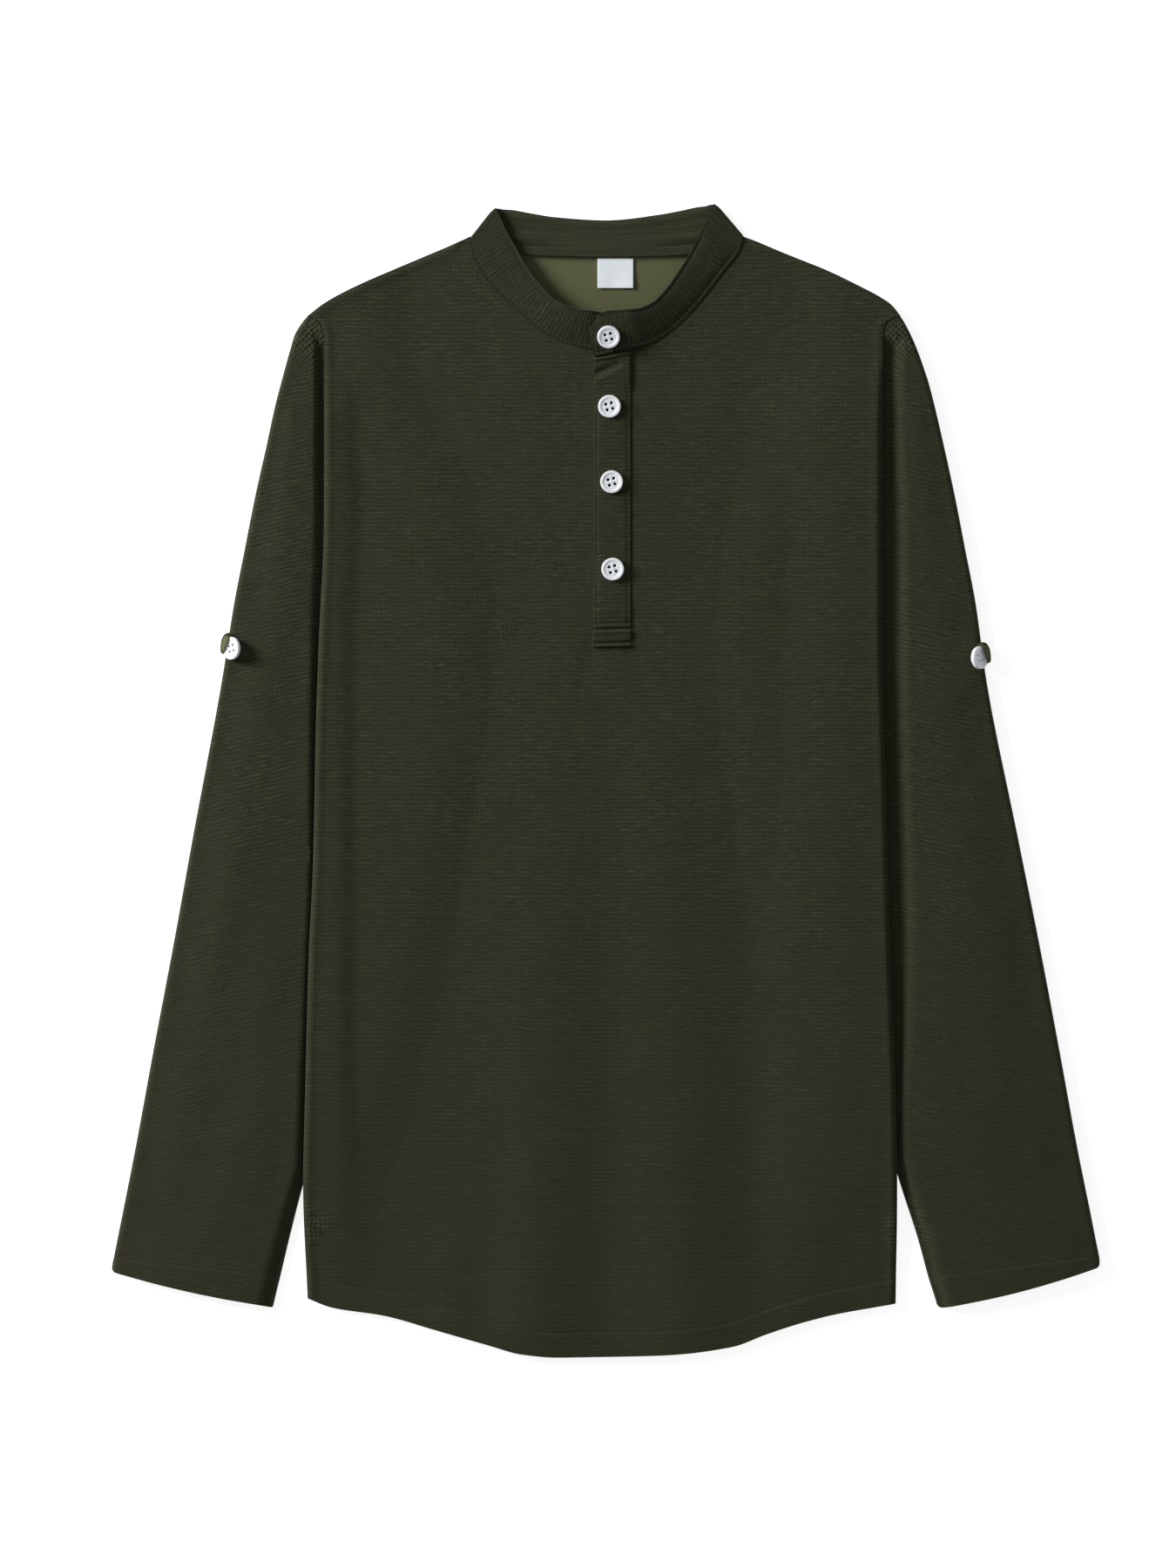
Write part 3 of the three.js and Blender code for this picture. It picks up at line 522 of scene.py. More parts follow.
def waffle_group() -> bpy.types.NodeTree:
    """Make the waffle: raised ribs round sunk cells, each a little different from the next.

    Returns:
        The group. It turns grain coordinates into the relief's height from 0 to 1, and painted
        shading: above 0 a painted highlight on the ribs, below 0 painted shade in the pits.
    """
    inputs = {"Grain": None, "Cell width": 0.0028, "Cell height": 0.00265, "Column share": 0.55}
    bench = GroupBench("waffle relief", inputs, ("Height", "Painted shading"))
    grain = bench.take("Grain")
    split = bench.add("SeparateXYZ", i0=grain).outputs
    drift = bench.times(bench.math("SUBTRACT", bench.noise(grain, 95.0), 0.5), 0.0033)
    u = bench.math("DIVIDE", bench.math("ADD", split[0], drift), bench.take("Cell width"))
    v = bench.math("DIVIDE", bench.math("SUBTRACT", split[1], drift), bench.take("Cell height"))

    def wave(cells: Socket) -> Socket:
        """Rise and fall once in each cell, from 0 to 1."""
        turned = bench.math("COSINE", bench.times(cells, math.tau))
        return bench.math("MULTIPLY_ADD", turned, 0.5, 0.5)

    def each_cell(stretch: float, shift: float, low: float, high: float) -> Socket:
        """Draw a value for each cell.

        Args:
            stretch: draws for each column.
            shift: how far up the draws are moved.
            low: the lowest value.
            high: the highest value.

        Returns:
            The value.
        """
        across = bench.math("FLOOR", bench.times(u, stretch))
        up = bench.math("FLOOR", bench.math("ADD", v, shift))
        cell = bench.add("CombineXYZ", i0=across, i1=up)
        drawn = bench.add("TexWhiteNoise", noise_dimensions="2D")
        bench.feed(cell.outputs[0], drawn.inputs["Vector"])
        return bench.ramp(drawn.outputs["Value"], 0.0, 1.0, low, high)

    course, column = wave(v), wave(u)
    spread = bench.add("CombineXYZ", i0=bench.times(u, 0.3), i1=v)
    dash = bench.ramp(bench.noise(spread.outputs[0], 1.0), 0.36, 0.64, 0.0, 1.5)
    raised = bench.math("MAXIMUM", course, bench.times(column, bench.take("Column share")))
    full = bench.math("MULTIPLY_ADD", bench.times(course, column), 0.25, raised)
    bench.put("Height", bench.times(full, bench.math("MULTIPLY_ADD", dash, 0.7, 0.3)))
    strength = bench.times(each_cell(0.62, 0.5, 0.2, 1.3), dash)
    # Painted light: the raised ribs get a painted highlight, and the sunk pits get painted shade.
    light = bench.times(bench.math("POWER", raised, 2.0), strength)
    sunk = bench.math("POWER", bench.math("SUBTRACT", 1.0, course), 1.6)
    pit_shade = bench.times(sunk, bench.math("MULTIPLY_ADD", column, -0.6, 1.0))
    bench.put("Painted shading", bench.math("SUBTRACT", light, bench.times(pit_shade, each_cell(0.8, 0.0, 0.0, 0.95))))
    return bench.tree


def wear_group() -> bpy.types.NodeTree:
    """Make the cloth's unevenness: broad mottling, patches of flatter relief and yarn streaks.

    Returns:
        The group. Its relief rises near the sleeve caps, where the knit is stretched.
    """
    outputs = ("Mottle", "Relief", "Streak", "Pulled", "Fuzz")
    bench = GroupBench("cloth unevenness", {"Place": None, "Grain": None}, outputs)
    place_on, grain = bench.take("Place"), bench.take("Grain")
    bench.put("Mottle", bench.ramp(bench.noise(place_on, 11.0, 3.0), 0.35, 0.65, 0.0, 1.0))
    patch = bench.ramp(bench.noise(place_on, 42.0, 1.0), 0.34, 0.66, 0.55, 1.05)
    above_hem = bench.add("SeparateXYZ", i0=place_on).outputs[1]
    uneven = bench.times(patch, bench.ramp(above_hem, -0.28, 0.02, 0.55, 1.2))
    folded = bench.add("VectorMath", operation="ABSOLUTE", i0=place_on).outputs[0]
    at_cap = bench.add("VectorMath", operation="DISTANCE", i0=folded, i1=(0.192, 0.285, 0.005))
    pulled = bench.ramp(at_cap.outputs["Value"], 0.008, 0.018, 1.0, 0.0)
    bench.put("Pulled", pulled)
    bench.put("Relief", bench.math("MULTIPLY_ADD", pulled, 1.6, uneven))
    bench.put("Fuzz", bench.noise(place_on, 620.0))
    yarns = bench.add("VectorMath", operation="MULTIPLY", i0=grain, i1=(16.0, 380.0, 1.0))
    bench.put("Streak", bench.noise(yarns.outputs[0], 1.0, 1.0))
    return bench.tree


@dataclass(frozen=True)
class KnitFinish:
    """A knitted cloth: waffle relief on the right side, with a painted highlight on its ribs and
    painted shade in its pits; nearly plain on the wrong side.
    """

    name: str
    colour: Colour
    other_colour: Colour
    painted_rib_shading: float
    relief_mm: float
    column_share: float = 0.5
    mottle: float = 0.03
    streak: float = 0.05
    fuzz: float = 0.07
    sheen: float = 0.05

    def material(self, groups: dict[str, bpy.types.NodeTree]) -> Material:
        """Make the material.

        Args:
            groups: the shared groups, by name.

        Returns:
            The material.
        """
        bench = MaterialBench(self.name)
        grain = bench.own_map("Grain")
        waffle, wear = (bench.add("Group", node_tree=groups[name]) for name in ("waffle", "wear"))
        bench.feed(grain, waffle.inputs["Grain"])
        bench.feed(bench.place(), wear.inputs["Place"])
        bench.feed(grain, wear.inputs["Grain"])
        columns = (wear.outputs["Pulled"], 1 - self.column_share, self.column_share)
        bench.feed(bench.math("MULTIPLY_ADD", *columns), waffle.inputs["Column share"])
        height, relief = waffle.outputs["Height"], wear.outputs["Relief"]
        # The waffle's painted shading, lighter ribs and darker pits, scaled with the relief's
        # unevenness.
        tone = bench.times(waffle.outputs["Painted shading"], relief)
        level = bench.math("MULTIPLY_ADD", tone, self.painted_rib_shading, 1.0)
        for mask, low, high, spread in (
            ("Mottle", 0.0, 1.0, self.mottle),
            ("Streak", 0.25, 0.75, self.streak),
            ("Fuzz", 0.3, 0.7, self.fuzz),
        ):
            uneven = bench.ramp(wear.outputs[mask], low, high, 1 - spread, 1 + spread)
            level = bench.times(level, uneven)
        hue = bench.add("Mix", data_type="RGBA", i0=wear.outputs["Mottle"])
        bench.feed((*self.colour, 1.0), hue.inputs[6])
        bench.feed((*self.other_colour, 1.0), hue.inputs[7])
        bench.relief(bench.times(height, relief), 1.0, self.relief_mm * MM)
        return bench.finish({
            "Base Color": bench.tint(hue.outputs[2], level),
            "Roughness": bench.ramp(height, 0.0, 1.0, 0.95, 0.85),
            "Specular IOR Level": 0.08,
            "Sheen Weight": self.sheen,
            "Sheen Roughness": 0.6,
        })


@dataclass(frozen=True)
class PlasticFinish:
    """A soft-gloss plastic, with the faint rings of its turning."""

    name: str
    colour: Colour
    roughness: float = 0.28
    ring_pitch: float = 0.00045

    def material(self) -> Material:
        """Make the material.

        Returns:
            The material.
        """
        bench = MaterialBench(self.name)
        from_middle = bench.add("VectorMath", operation="LENGTH", i0=bench.own_map("Turned"))
        bench.relief(bench.ripple(from_middle.outputs["Value"], self.ring_pitch), 0.35, 0.00002)
        where = bench.place()
        cloud, spots = bench.noise(where, 260.0, 3.0), bench.noise(where, 900.0)
        return bench.finish({
            "Base Color": bench.tint(self.colour, bench.ramp(cloud, 0.3, 0.7, 0.95, 1.04)),
            "Roughness": bench.ramp(spots, 0.3, 0.7, self.roughness - 0.06, self.roughness + 0.1),
            "Coat Weight": 0.15,
            "Subsurface Weight": 0.4,
            "Subsurface Radius": (1.0, 1.0, 1.0),
            "Subsurface Scale": 0.004,
        })


@dataclass(frozen=True)
class ThreadFinish:
    """Twisted sewing thread, with painted shade in the grooves of its twist and a painted highlight
    on its crests.
    """

    name: str
    colour: Colour
    twist_pitch: float = 0.0005

    def material(self) -> Material:
        """Make the material.

        Returns:
            The material.
        """
        bench = MaterialBench(self.name)
        split = bench.add("SeparateXYZ", i0=bench.place()).outputs
        twist = bench.ripple(bench.math("ADD", split[0], split[1]), self.twist_pitch)
        bench.relief(twist, 0.6, 0.00006)
        # Painted shade and highlight: darker where the twist's relief dips, lighter on its crests.
        tone = bench.ramp(twist, -1.0, 1.0, 0.82, 1.12)
        return bench.finish({"Base Color": bench.tint(self.colour, tone), "Roughness": 0.6})


@dataclass(frozen=True)
class SatinFinish:
    """A woven satin label, with fine floats across it, painted a little lighter on the floats' crests
    and darker between them.
    """

    name: str
    colour: Colour
    pick_pitch: float = 0.00042
    end_pitch: float = 0.0005

    def material(self) -> Material:
        """Make the material.

        Returns:
            The material.
        """
        bench = MaterialBench(self.name)
        grain = bench.own_map("Grain")
        split = bench.add("SeparateXYZ", i0=grain).outputs
        picks, ends = bench.ripple(split[1], self.pick_pitch), bench.ripple(split[0], self.end_pitch)
        weave = bench.math("MULTIPLY_ADD", ends, 0.4, picks)
        cloud = bench.noise(grain, 170.0, 3.0)
        # Random cloudy tone, times a painted highlight on the weave's crests and painted shade in its
        # dips.
        tone = bench.times(
            bench.ramp(cloud, 0.3, 0.7, 0.96, 1.03), bench.ramp(weave, -1.4, 1.4, 0.96, 1.02)
        )
        bench.relief(weave, 0.5, 0.00005)
        return bench.finish({
            "Base Color": bench.tint(self.colour, tone),
            "Roughness": bench.ramp(cloud, 0.3, 0.7, 0.42, 0.55),
            "Sheen Weight": 0.1,
        })


OLIVE, MOSS = (0.0299, 0.0291, 0.0158), (0.0279, 0.0298, 0.0156)
PLACKET_OLIVE, PLACKET_MOSS = (0.0268, 0.0262, 0.0142), (0.0254, 0.0267, 0.0140)
# The collar band's face is painted darker than the body's knit, as painted shade. Its inside, which
# lies flat at the back, is painted lighter than the face, as painted light.
SHADED_BAND_OLIVE, SHADED_BAND_MOSS = (0.0236, 0.0232, 0.0127), (0.0222, 0.0234, 0.0125)
LIT_INNER_OLIVE, LIT_INNER_MOSS = (0.0313, 0.0312, 0.0163), (0.030, 0.0318, 0.0161)
WRONG_OLIVE, WRONG_MOSS = (0.100, 0.1025, 0.0505), (0.0965, 0.1035, 0.0498)
KNITS = (
    KnitFinish("waffle_knit", OLIVE, MOSS, 0.4, 0.12),
    KnitFinish("waffle_knit_placket", PLACKET_OLIVE, PLACKET_MOSS, 0.36, 0.12),
    KnitFinish("waffle_knit_band_shaded", SHADED_BAND_OLIVE, SHADED_BAND_MOSS, 0.38, 0.11, 0.4, streak=0.1),
    KnitFinish("waffle_knit_band_inside_lit", LIT_INNER_OLIVE, LIT_INNER_MOSS, 0.17, 0.07, streak=0.16),
    KnitFinish("knit_wrong_side", WRONG_OLIVE, WRONG_MOSS, 0.03, 0.02, streak=0.03, fuzz=0.02),
)


class Finishes:
    """Every finish of the shirt."""

    def __init__(self) -> None:
        """Make the shared groups once, then each material."""
        groups = {"waffle": waffle_group(), "wear": wear_group()}
        knits = (knit.material(groups) for knit in KNITS)
        self.knit, self.placket_knit, self.band_knit, self.band_inner, self.inside = knits
        self.plastic = PlasticFinish("button_plastic", (0.82, 0.85, 0.90)).material()
        self.satin = SatinFinish("label_satin", (0.80, 0.86, 0.90)).material()
        self.thread = ThreadFinish("olive_thread", (0.0165, 0.0167, 0.0095)).material()


# ---- making meshes ----


def new_object(name: str, data: bpy.types.ID) -> Piece:
    """Make an object of some data, linked to the scene."""
    made = bpy.data.objects.new(name, data)
    bpy.context.scene.collection.objects.link(made)
    return made


def activate(*pieces: Piece) -> None:
    """Select pieces alone and make the first one active.

    Args:
        pieces: the pieces.
    """
    bpy.ops.object.select_all(action="DESELECT")
    for piece in pieces:
        piece.select_set(True)
    bpy.context.view_layer.objects.active = pieces[0]


def apply_modifiers(piece: Piece) -> None:
    """Apply a piece's modifiers in order."""
    activate(piece)
    for modifier in list(piece.modifiers):
        bpy.ops.object.modifier_apply(modifier=modifier.name)


def shade_by_angle(piece: Piece, degrees: float) -> None:
    """Shade a piece smooth, with sharp edges past an angle."""
    activate(piece)
    bpy.ops.object.shade_smooth_by_angle(angle=math.radians(degrees))


@dataclass
class Cloth:
    """A sheet of cloth as a grid of points on its face.

    Its grain coordinates are its plan, unless it has its own.
    """

    name: str
    face: Array
    thickness: float
    grain: Array | None = None
    wrap: bool = False
    keep: Array | None = None
    face_down: bool = False
    rim: float = 0.4

    def cells(self) -> Array:
        """Number the cells that are cloth.

        Returns:
            The four point numbers of each cell.
        """
        rows, columns = self.face.shape[:2]
        number = np.arange(rows * columns).reshape(rows, columns)
        beside = np.roll(number, -1, axis=1) if self.wrap else number[:, 1:]
        here = number if self.wrap else number[:, :-1]
        quads = np.stack([here[:-1], beside[:-1], beside[1:], here[1:]], axis=-1)
        return quads[self.keep] if self.keep is not None else quads.reshape(-1, 4)

    def make(self, face_finish: Material, back_finish: Material) -> Piece:
        """Make the sheet a closed shell with a rounded rim.

        Args:
            face_finish: the finish of the face and the rim.
            back_finish: the finish of the back.

        Returns:
            The finished piece.
        """
        mesh = bpy.data.meshes.new(self.name)
        quads = self.cells()
        mesh.from_pydata((self.face.reshape(-1, 3) * MM).tolist(), [], quads.tolist())
        piece = new_object(self.name, mesh)
        self.write_grain(mesh, quads)
        shaped = bmesh.new()
        shaped.from_mesh(mesh)
        if self.wrap:
            bmesh.ops.recalc_face_normals(shaped, faces=shaped.faces)
        else:
            total = sum((f.normal for f in shaped.faces), Vector())
            if (total.z < 0) != self.face_down:
                bmesh.ops.reverse_faces(shaped, faces=shaped.faces)
        loose = [v for v in shaped.verts if not v.link_faces]
        bmesh.ops.delete(shaped, geom=loose, context="VERTS")
        shaped.to_mesh(mesh)
        shaped.free()
        for finish in (face_finish, back_finish):
            mesh.materials.append(finish)
        self.thicken(piece)
        return piece

    def write_grain(self, mesh: bpy.types.Mesh, quads: Array) -> None:
        """Write the grain coordinates, in metres, as the UV map.

        Args:
            mesh: the sheet's mesh.
            quads: the point numbers of its faces.
        """
        columns = self.face.shape[1]
        row, column = np.divmod(quads, columns)
        if self.wrap:
            last = column[:, 0] == columns - 1
            column[last, 1:3] = columns
        flat = self.face[..., :2] if self.grain is None else self.grain
        grain = flat[row, column] * MM
        mesh.uv_layers.new(name="Grain").data.foreach_set("uv", grain.astype(np.float32).ravel())

    def thicken(self, piece: Piece) -> None:
        """Give the sheet its wall and round its rim.

        Args:
            piece: the sheet.
        """
        wall = piece.modifiers.new("wall", "SOLIDIFY")
        wall.thickness = self.thickness * MM
        wall.offset = -1.0
        wall.material_offset = 1
        edge = piece.modifiers.new("rim", "BEVEL")
        edge.width = self.rim * MM
        edge.segments = 2
        edge.limit_method = "ANGLE"
        edge.angle_limit = math.radians(55)
        apply_modifiers(piece)
        shade_by_angle(piece, 50)


def place(piece: Piece, slot: str, *nodes: str) -> Piece:
    """Tie a piece to the shirt's body.

    Args:
        piece: the piece.
        slot: the record's material slot; not used.
        nodes: the CAD nodes that it stands for.

    Returns:
        The piece.
    """
    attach(piece, "root")
    if nodes:
        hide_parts(*nodes)
    triangles = sum(len(polygon.vertices) - 2 for polygon in piece.data.polygons)
    LOG.info("%s: %d triangles", piece.name, triangles)
    return piece


# ---- heights of the laid layers ----

BODY_FOLDS = (
    Crease((-34, 60), (-46, -345), 31, 0.3, 3.7),
    Crease((34, 70), (48, -345), 33, 0.3, 3.2),
    Crease((4, 40), (2, -350), 16, -0.2, -0.6),
    Crease((112, 66), (128, -330), 18, 0.5, 0.6),
    Crease((92, 60), (98, -330), 15, -0.4, -0.5),
    Crease((-132, 96), (-128, -150), 11, 0.55, 0.2),
    Crease((-151, 96), (-154, -170), 11, -1.2, -0.7),
    Crease((-88, -210), (-100, -345), 16, 0.2, 1.3),
    Crease((-160, 218), (-70, 128), 15, -0.3, -0.1),
    Crease((-168, 196), (-96, 96), 13, 0.3, 0.1),
    Crease((160, 212), (84, 118), 14, -0.3, -0.1),
    Crease((-8, 84), (-22, 40), 7, -0.5, -0.1),
    Crease((18, 84), (30, 46), 7, -0.45, -0.1),
    Crease((-60, 262), (-40, 150), 16, 0.25, 0.05),
    Crease((70, 262), (52, 140), 15, 0.25, 0.05),
    Crease((120, -150), (176, -205), 14, -0.4, -0.2),
)
SLEEVE_INNER = both_sides([row[3:] for row in SLEEVE_ROWS])


@dataclass(frozen=True)
class LaidBody:
    """Heights of the front and the back as they lie. A pair is for the -X and the +X side."""

    middle_level: float = 3.1
    side_level: Pair = (7.2, 8.0)
    level_from: Pair = (144.0, 84.0)
    level_length: Pair = (31.0, 72.0)
    edge_rounding: Pair = (4.0, 7.0)
    drape_start: float = 18.0
    drape_length: float = 66.0
    hem_allowance: float = 16.0
    sides: dict[int, Profile] = field(default_factory=lambda: both_sides(BODY_SIDES))
    shoulders: dict[int, Profile] = field(default_factory=lambda: both_sides(SHOULDERS, by_x=True))
    hem: Profile = Profile(*zip(*HEM))
    waves: Unevenness = Unevenness(11, 0.055, 45, 130)

    def back_under(self, x: Array, y: Array) -> Array:
        """Return the underside of the back: on the floor, and up on the sleeves."""
        inboard = np.abs(on_side(SLEEVE_INNER, x, y)) - np.abs(x)
        over_sleeve = 1 - smooth((inboard - self.drape_start) / self.drape_length)
        return BODY_ON_SLEEVE * over_sleeve * smooth((y + 340) / 70)

    def back_top(self, x: Array, y: Array) -> Array:
        """Return the upper side of the back."""
        return self.back_under(x, y) + CLOTH

    def inside_seams(self, x: Array, y: Array) -> Array:
        """Measure from the seams inwards.

        Args:
            x, y: the points.

        Returns:
            How far each lies inside the side seam or the shoulder seam.
        """
        from_side = np.abs(on_side(self.sides, x, y)) - np.abs(x)
        near_neck = 30 * smooth((97 - np.abs(x)) / 14)
        from_shoulder = (on_side(self.shoulders, x, x) - y) * 0.9 + near_neck
        return np.maximum(0.0, np.minimum(from_side, from_shoulder))

    def above_hem(self, x: Array, y: Array) -> Array:
        """Return how far a point lies above the hem."""
        return y - self.hem(x)

    def front_under(self, x: Array, y: Array) -> Array:
        """Lay the underside of the front, without its seams.

        Args:
            x, y: the points.

        Returns:
            The height at each point.
        """
        on_back = self.back_top(x, y) + GAP
        start, length, rounding, side_level = (
            np.where(x < 0, *pair)
            for pair in (self.level_from, self.level_length, self.edge_rounding, self.side_level)
        )
        outward = smooth((np.abs(x) - start) / length)
        sideways = outward * smooth((300 - y) / 70) * smooth((y + 350) / 120)
        level = self.middle_level + (side_level - self.middle_level) * sideways
        calm = smooth(self.inside_seams(x, y) / 30) * smooth((318 - y) / 60)
        folds = creased(BODY_FOLDS, x, y) + self.waves(x, y) * calm
        lifted = np.maximum(0.0, level + folds - on_back)
        return on_back + lifted * quarter_round(self.inside_seams(x, y) / rounding)

    def front_top(self, x: Array, y: Array) -> Array:
        """Return the face of the front, without its seams."""
        return self.front_under(x, y) + CLOTH

    def front_face(self, x: Array, y: Array) -> Array:
        """Lay the face of the front, with the ridges of its seams and its hem.

        Args:
            x, y: the points.

        Returns:
            The height at each point.
        """
        inside = self.inside_seams(x, y)
        side_seam = 0.55 * bump(inside - 3.2, 2.4)
        over = self.above_hem(x, y)
        allowance = 0.45 * (1 - smooth((over - self.hem_allowance) / 2.5))
        groove = -0.5 * bump(over - self.hem_allowance, 1.0)
        return self.front_top(x, y) + side_seam + allowance + groove


# ---- the neck ----


class Chain(NamedTuple):
    """A run of stations across the collar band: its seam and its free edge, with heights."""

    seam: Array
    edge: Array


def chain_through(
    seams: Sequence[Sequence[float]], edges: Sequence[Sequence[float]], step: float
) -> Chain:
    """Run a smooth band through key stations.

    Args:
        seams: the seam point of each key station.
        edges: the free edge point of each key station.
        step: how far apart the stations are made.

    Returns:
        The dense run, key stations included.
    """
    ends = np.hstack([np.asarray(seams, float), np.asarray(edges, float)])
    keys = run_lengths(ends[:, :3], ends[:, 3:])
    at = spaced(keys, step)
    dense = np.stack([Profile(keys, ends[:, axis])(at) for axis in range(6)], axis=1)
    return Chain(dense[:, :3], dense[:, 3:])


@dataclass
class CollarBand:
    """The band collar: up at the front, folded over at the sides and flat at the back.

    It is one run of stations from the lapped upper end round the neck to the lower end. Its
    ridges lie by their share of the band's width, and a back crease has its share, its slant, its
    start and end along the back, and its height.
    """

    body: LaidBody
    finish: Finishes
    fold_radius: float = 2.8
    fold_reach: float = 2.4
    proud: float = 0.7
    lap: float = BAND_CLOTH + GAP
    back_rise: float = 2.1
    centre_rise: float = 6.5
    centre_seam_y: float = 275.0
    centre_edge_y: float = 301.4
    step: float = 1.5
    stitch_inset: float = 1.9
    corner_share: float = 0.68
    end_corner_x: float = -10.6
    end_keys: tuple[tuple[Point, Point], ...] = (
        ((12, 277.6), (9, 301.9)),
        ((1, 275.0), (1, 301.4)),
        ((-8.6, 272.8), (-5, 298.2)),
    )
    tip_radius: float = 4.0
    panel_top: float = 342.6
    back_ridges: tuple[Ridge, ...] = (Ridge(0.86, 0.5, 0.05), Ridge(0.74, -0.45, 0.05))
    back_creases: tuple[tuple[float, float, float, float, float], ...] = (
        (0.30, 0.30, 0.03, 0.36, -1.1),
        (0.46, 0.26, 0.02, 0.30, 0.9),
        (0.60, 0.22, 0.05, 0.42, -0.8),
        (0.24, -0.12, 0.30, 0.66, 0.35),
        (0.40, 0.05, 0.40, 0.78, -0.35),
        (0.32, -0.34, 0.66, 0.98, -1.1),
        (0.50, -0.30, 0.70, 0.97, 0.9),
        (0.64, -0.20, 0.60, 0.95, -0.8),
        (0.16, 0.0, 0.08, 0.90, 0.3),
    )

    def seam_height(self, x: float, y: float) -> float:
        """Return the band's face height at the front seam."""
        top = float(self.body.front_top(np.array(x), np.array(y)))
        return max(top + self.proud, 2 * self.fold_radius)

    def end_height(self, y: float) -> float:
        """Return the height of the lapped end's sloping plane."""
        slope = self.centre_rise / (self.centre_edge_y - self.centre_seam_y)
        return self.seam_height(SLIT[0], NECK_CENTRE_Y) + self.lap + (y - self.centre_seam_y) * slope

    def front_keys(self, side: int) -> tuple[list[list[float]], list[list[float]]]:
        """Set out one front half, from the side fold to its end.

        Args:
            side: side of the shirt.

        Returns:
            The seam points and the free edge points of its key stations.
        """
        seams, edges = ([self.fold_point(side, end, math.pi / 2)] for end in (0, 1))
        for row in FRONT_NECK:
            x, y = row.seam(side)
            fade = 1 - smooth((abs(x) - 14) / 24)
            z = self.seam_height(x, y) + (self.lap * float(fade) if side > 0 else 0.0)
            seams.append([x - side * GAP / 2, y + GAP / 2, z])
            edges.append([*row.edge(side), z + row.rise])
        return seams, edges

    def fold_point(self, side: int, end: int, angle: float) -> list[float]:
        """Turn round one end of a side fold.

        Args:
            side: side of the shirt.
            end: 0 at the seam and 1 at the free edge.
            angle: angle above level.

        Returns:
            The point at that angle.
        """
        up = (1 + math.sin(angle)) / 2
        corner, run = np.array(COLLAR_FOLD[side][end]), np.zeros(2)
        for row, share in ((FRONT_NECK[0], up), (BACK_NECK[0], 1 - up)):
            onward = (row.edge(side) if end else row.seam(side)) - corner
            run += share * onward / norm(onward)
        return [*(corner + run * self.fold_reach * (1 - math.cos(angle))), 2 * self.fold_radius * up]

    def fold(self, side: int) -> Chain:
        """Return half a turn round a side fold, from the front's face to the back's."""
        angles = np.radians(np.linspace(90, -90, 15)[1:-1])
        seam, edge = ([self.fold_point(side, end, angle) for angle in angles] for end in (0, 1))
        return Chain(np.array(seam), np.array(edge))

    def upper_end(self) -> Chain:
        """Set out the lapped end and the front half on its side.

        Returns:
            The run, lapped end first.
        """
        seams, edges = self.front_keys(1)
        for seam, edge in self.end_keys:
            seams.append([*seam, self.end_height(seam[1])])
            edges.append([*edge, self.end_height(edge[1])])
        run = chain_through(seams, edges, self.step)
        return Chain(run.seam[::-1], run.edge[::-1])

    def lower_end(self) -> Chain:
        """Set out the other front half.

        Returns:
            The run, down to the hidden lower end.
        """
        seams, edges = self.front_keys(-1)
        z = self.seam_height(SLIT[0], NECK_CENTRE_Y)
        for x in (-4.0, 9.5):
            seams.append([x, NECK_CENTRE_Y + GAP / 2, z])
            edges.append([x + 1, 300.8, z + self.centre_rise - 0.6])
        return chain_through(seams, edges, self.step)

    def back(self) -> Chain:
        """Set out the back half, face down.

        Returns:
            The run from the +X fold to the -X fold.
        """
        rows = [(row, 1) for row in BACK_NECK] + [(BACK_CENTRE, 0)]
        rows += [(row, -1) for row in reversed(BACK_NECK)]
        ends = [[self.fold_point(side, end, -math.pi / 2) for end in (0, 1)] for side in (1, -1)]
        stations = [ends[0]]
        for row, side in rows:
            x, y = row.seam(side)
            seam = [x - side * GAP / 2, y + GAP / 2, self.back_rise]
            stations.append([seam, [*row.edge(side), 0.0]])
        return chain_through(*zip(*stations, ends[1]), self.step)

    def panel_edge(self, side: int) -> Array:
        """Trace the front panel's neck edge.

        Args:
            side: side of the shirt.

        Returns:
            Points from the shoulder to the centre.
        """
        seams, edges = self.front_keys(side)
        run = chain_through(seams, edges, self.step).seam
        out, up = np.abs(run[:, 0]), run[:, 1]
        kept = (out <= abs(FRONT_NECK[0].seam(side)[0])) & (out > SLIT[1]) & (up < self.panel_top)
        return run[kept, :2] + [side * 0.1, -0.1]

    def shares(self) -> Array:
        """Return the places across the band, closer together at its stitched edges."""
        near = np.array([0.0, 0.02, 0.04, 0.06, 0.078, 0.096, 0.12, 0.16])
        middle = np.array([0.22, 0.29, 0.36, 0.44, 0.52, 0.6, self.corner_share, 0.76, 0.82])
        return np.concatenate([near, middle, 1 - near[-2::-1]])

    def build(self) -> None:
        """Build the band, whose inner side shows at the back."""
        minus_fold = Chain(*(points[::-1] for points in self.fold(-1)))
        runs = [self.upper_end(), self.fold(1), self.back(), minus_fold, self.lower_end()]
        seam = np.concatenate([run.seam for run in runs])
        edge = np.concatenate([run.edge for run in runs])
        self.lengths = [len(run.seam) for run in runs]
        self.face = seam[:, None] + (edge - seam)[:, None] * self.shares()[None, :, None]
        self.cut_corner()
        self.raise_relief()
        self.crease_back()
        self.round_tips()
        cloth = Cloth("collar_band_cloth", self.face, BAND_WALL, self.grain(seam, edge), rim=0.5)
        made = cloth.make(self.finish.band_knit, self.finish.band_inner)
        band = place(made, "waffle_knit", "collar_band")

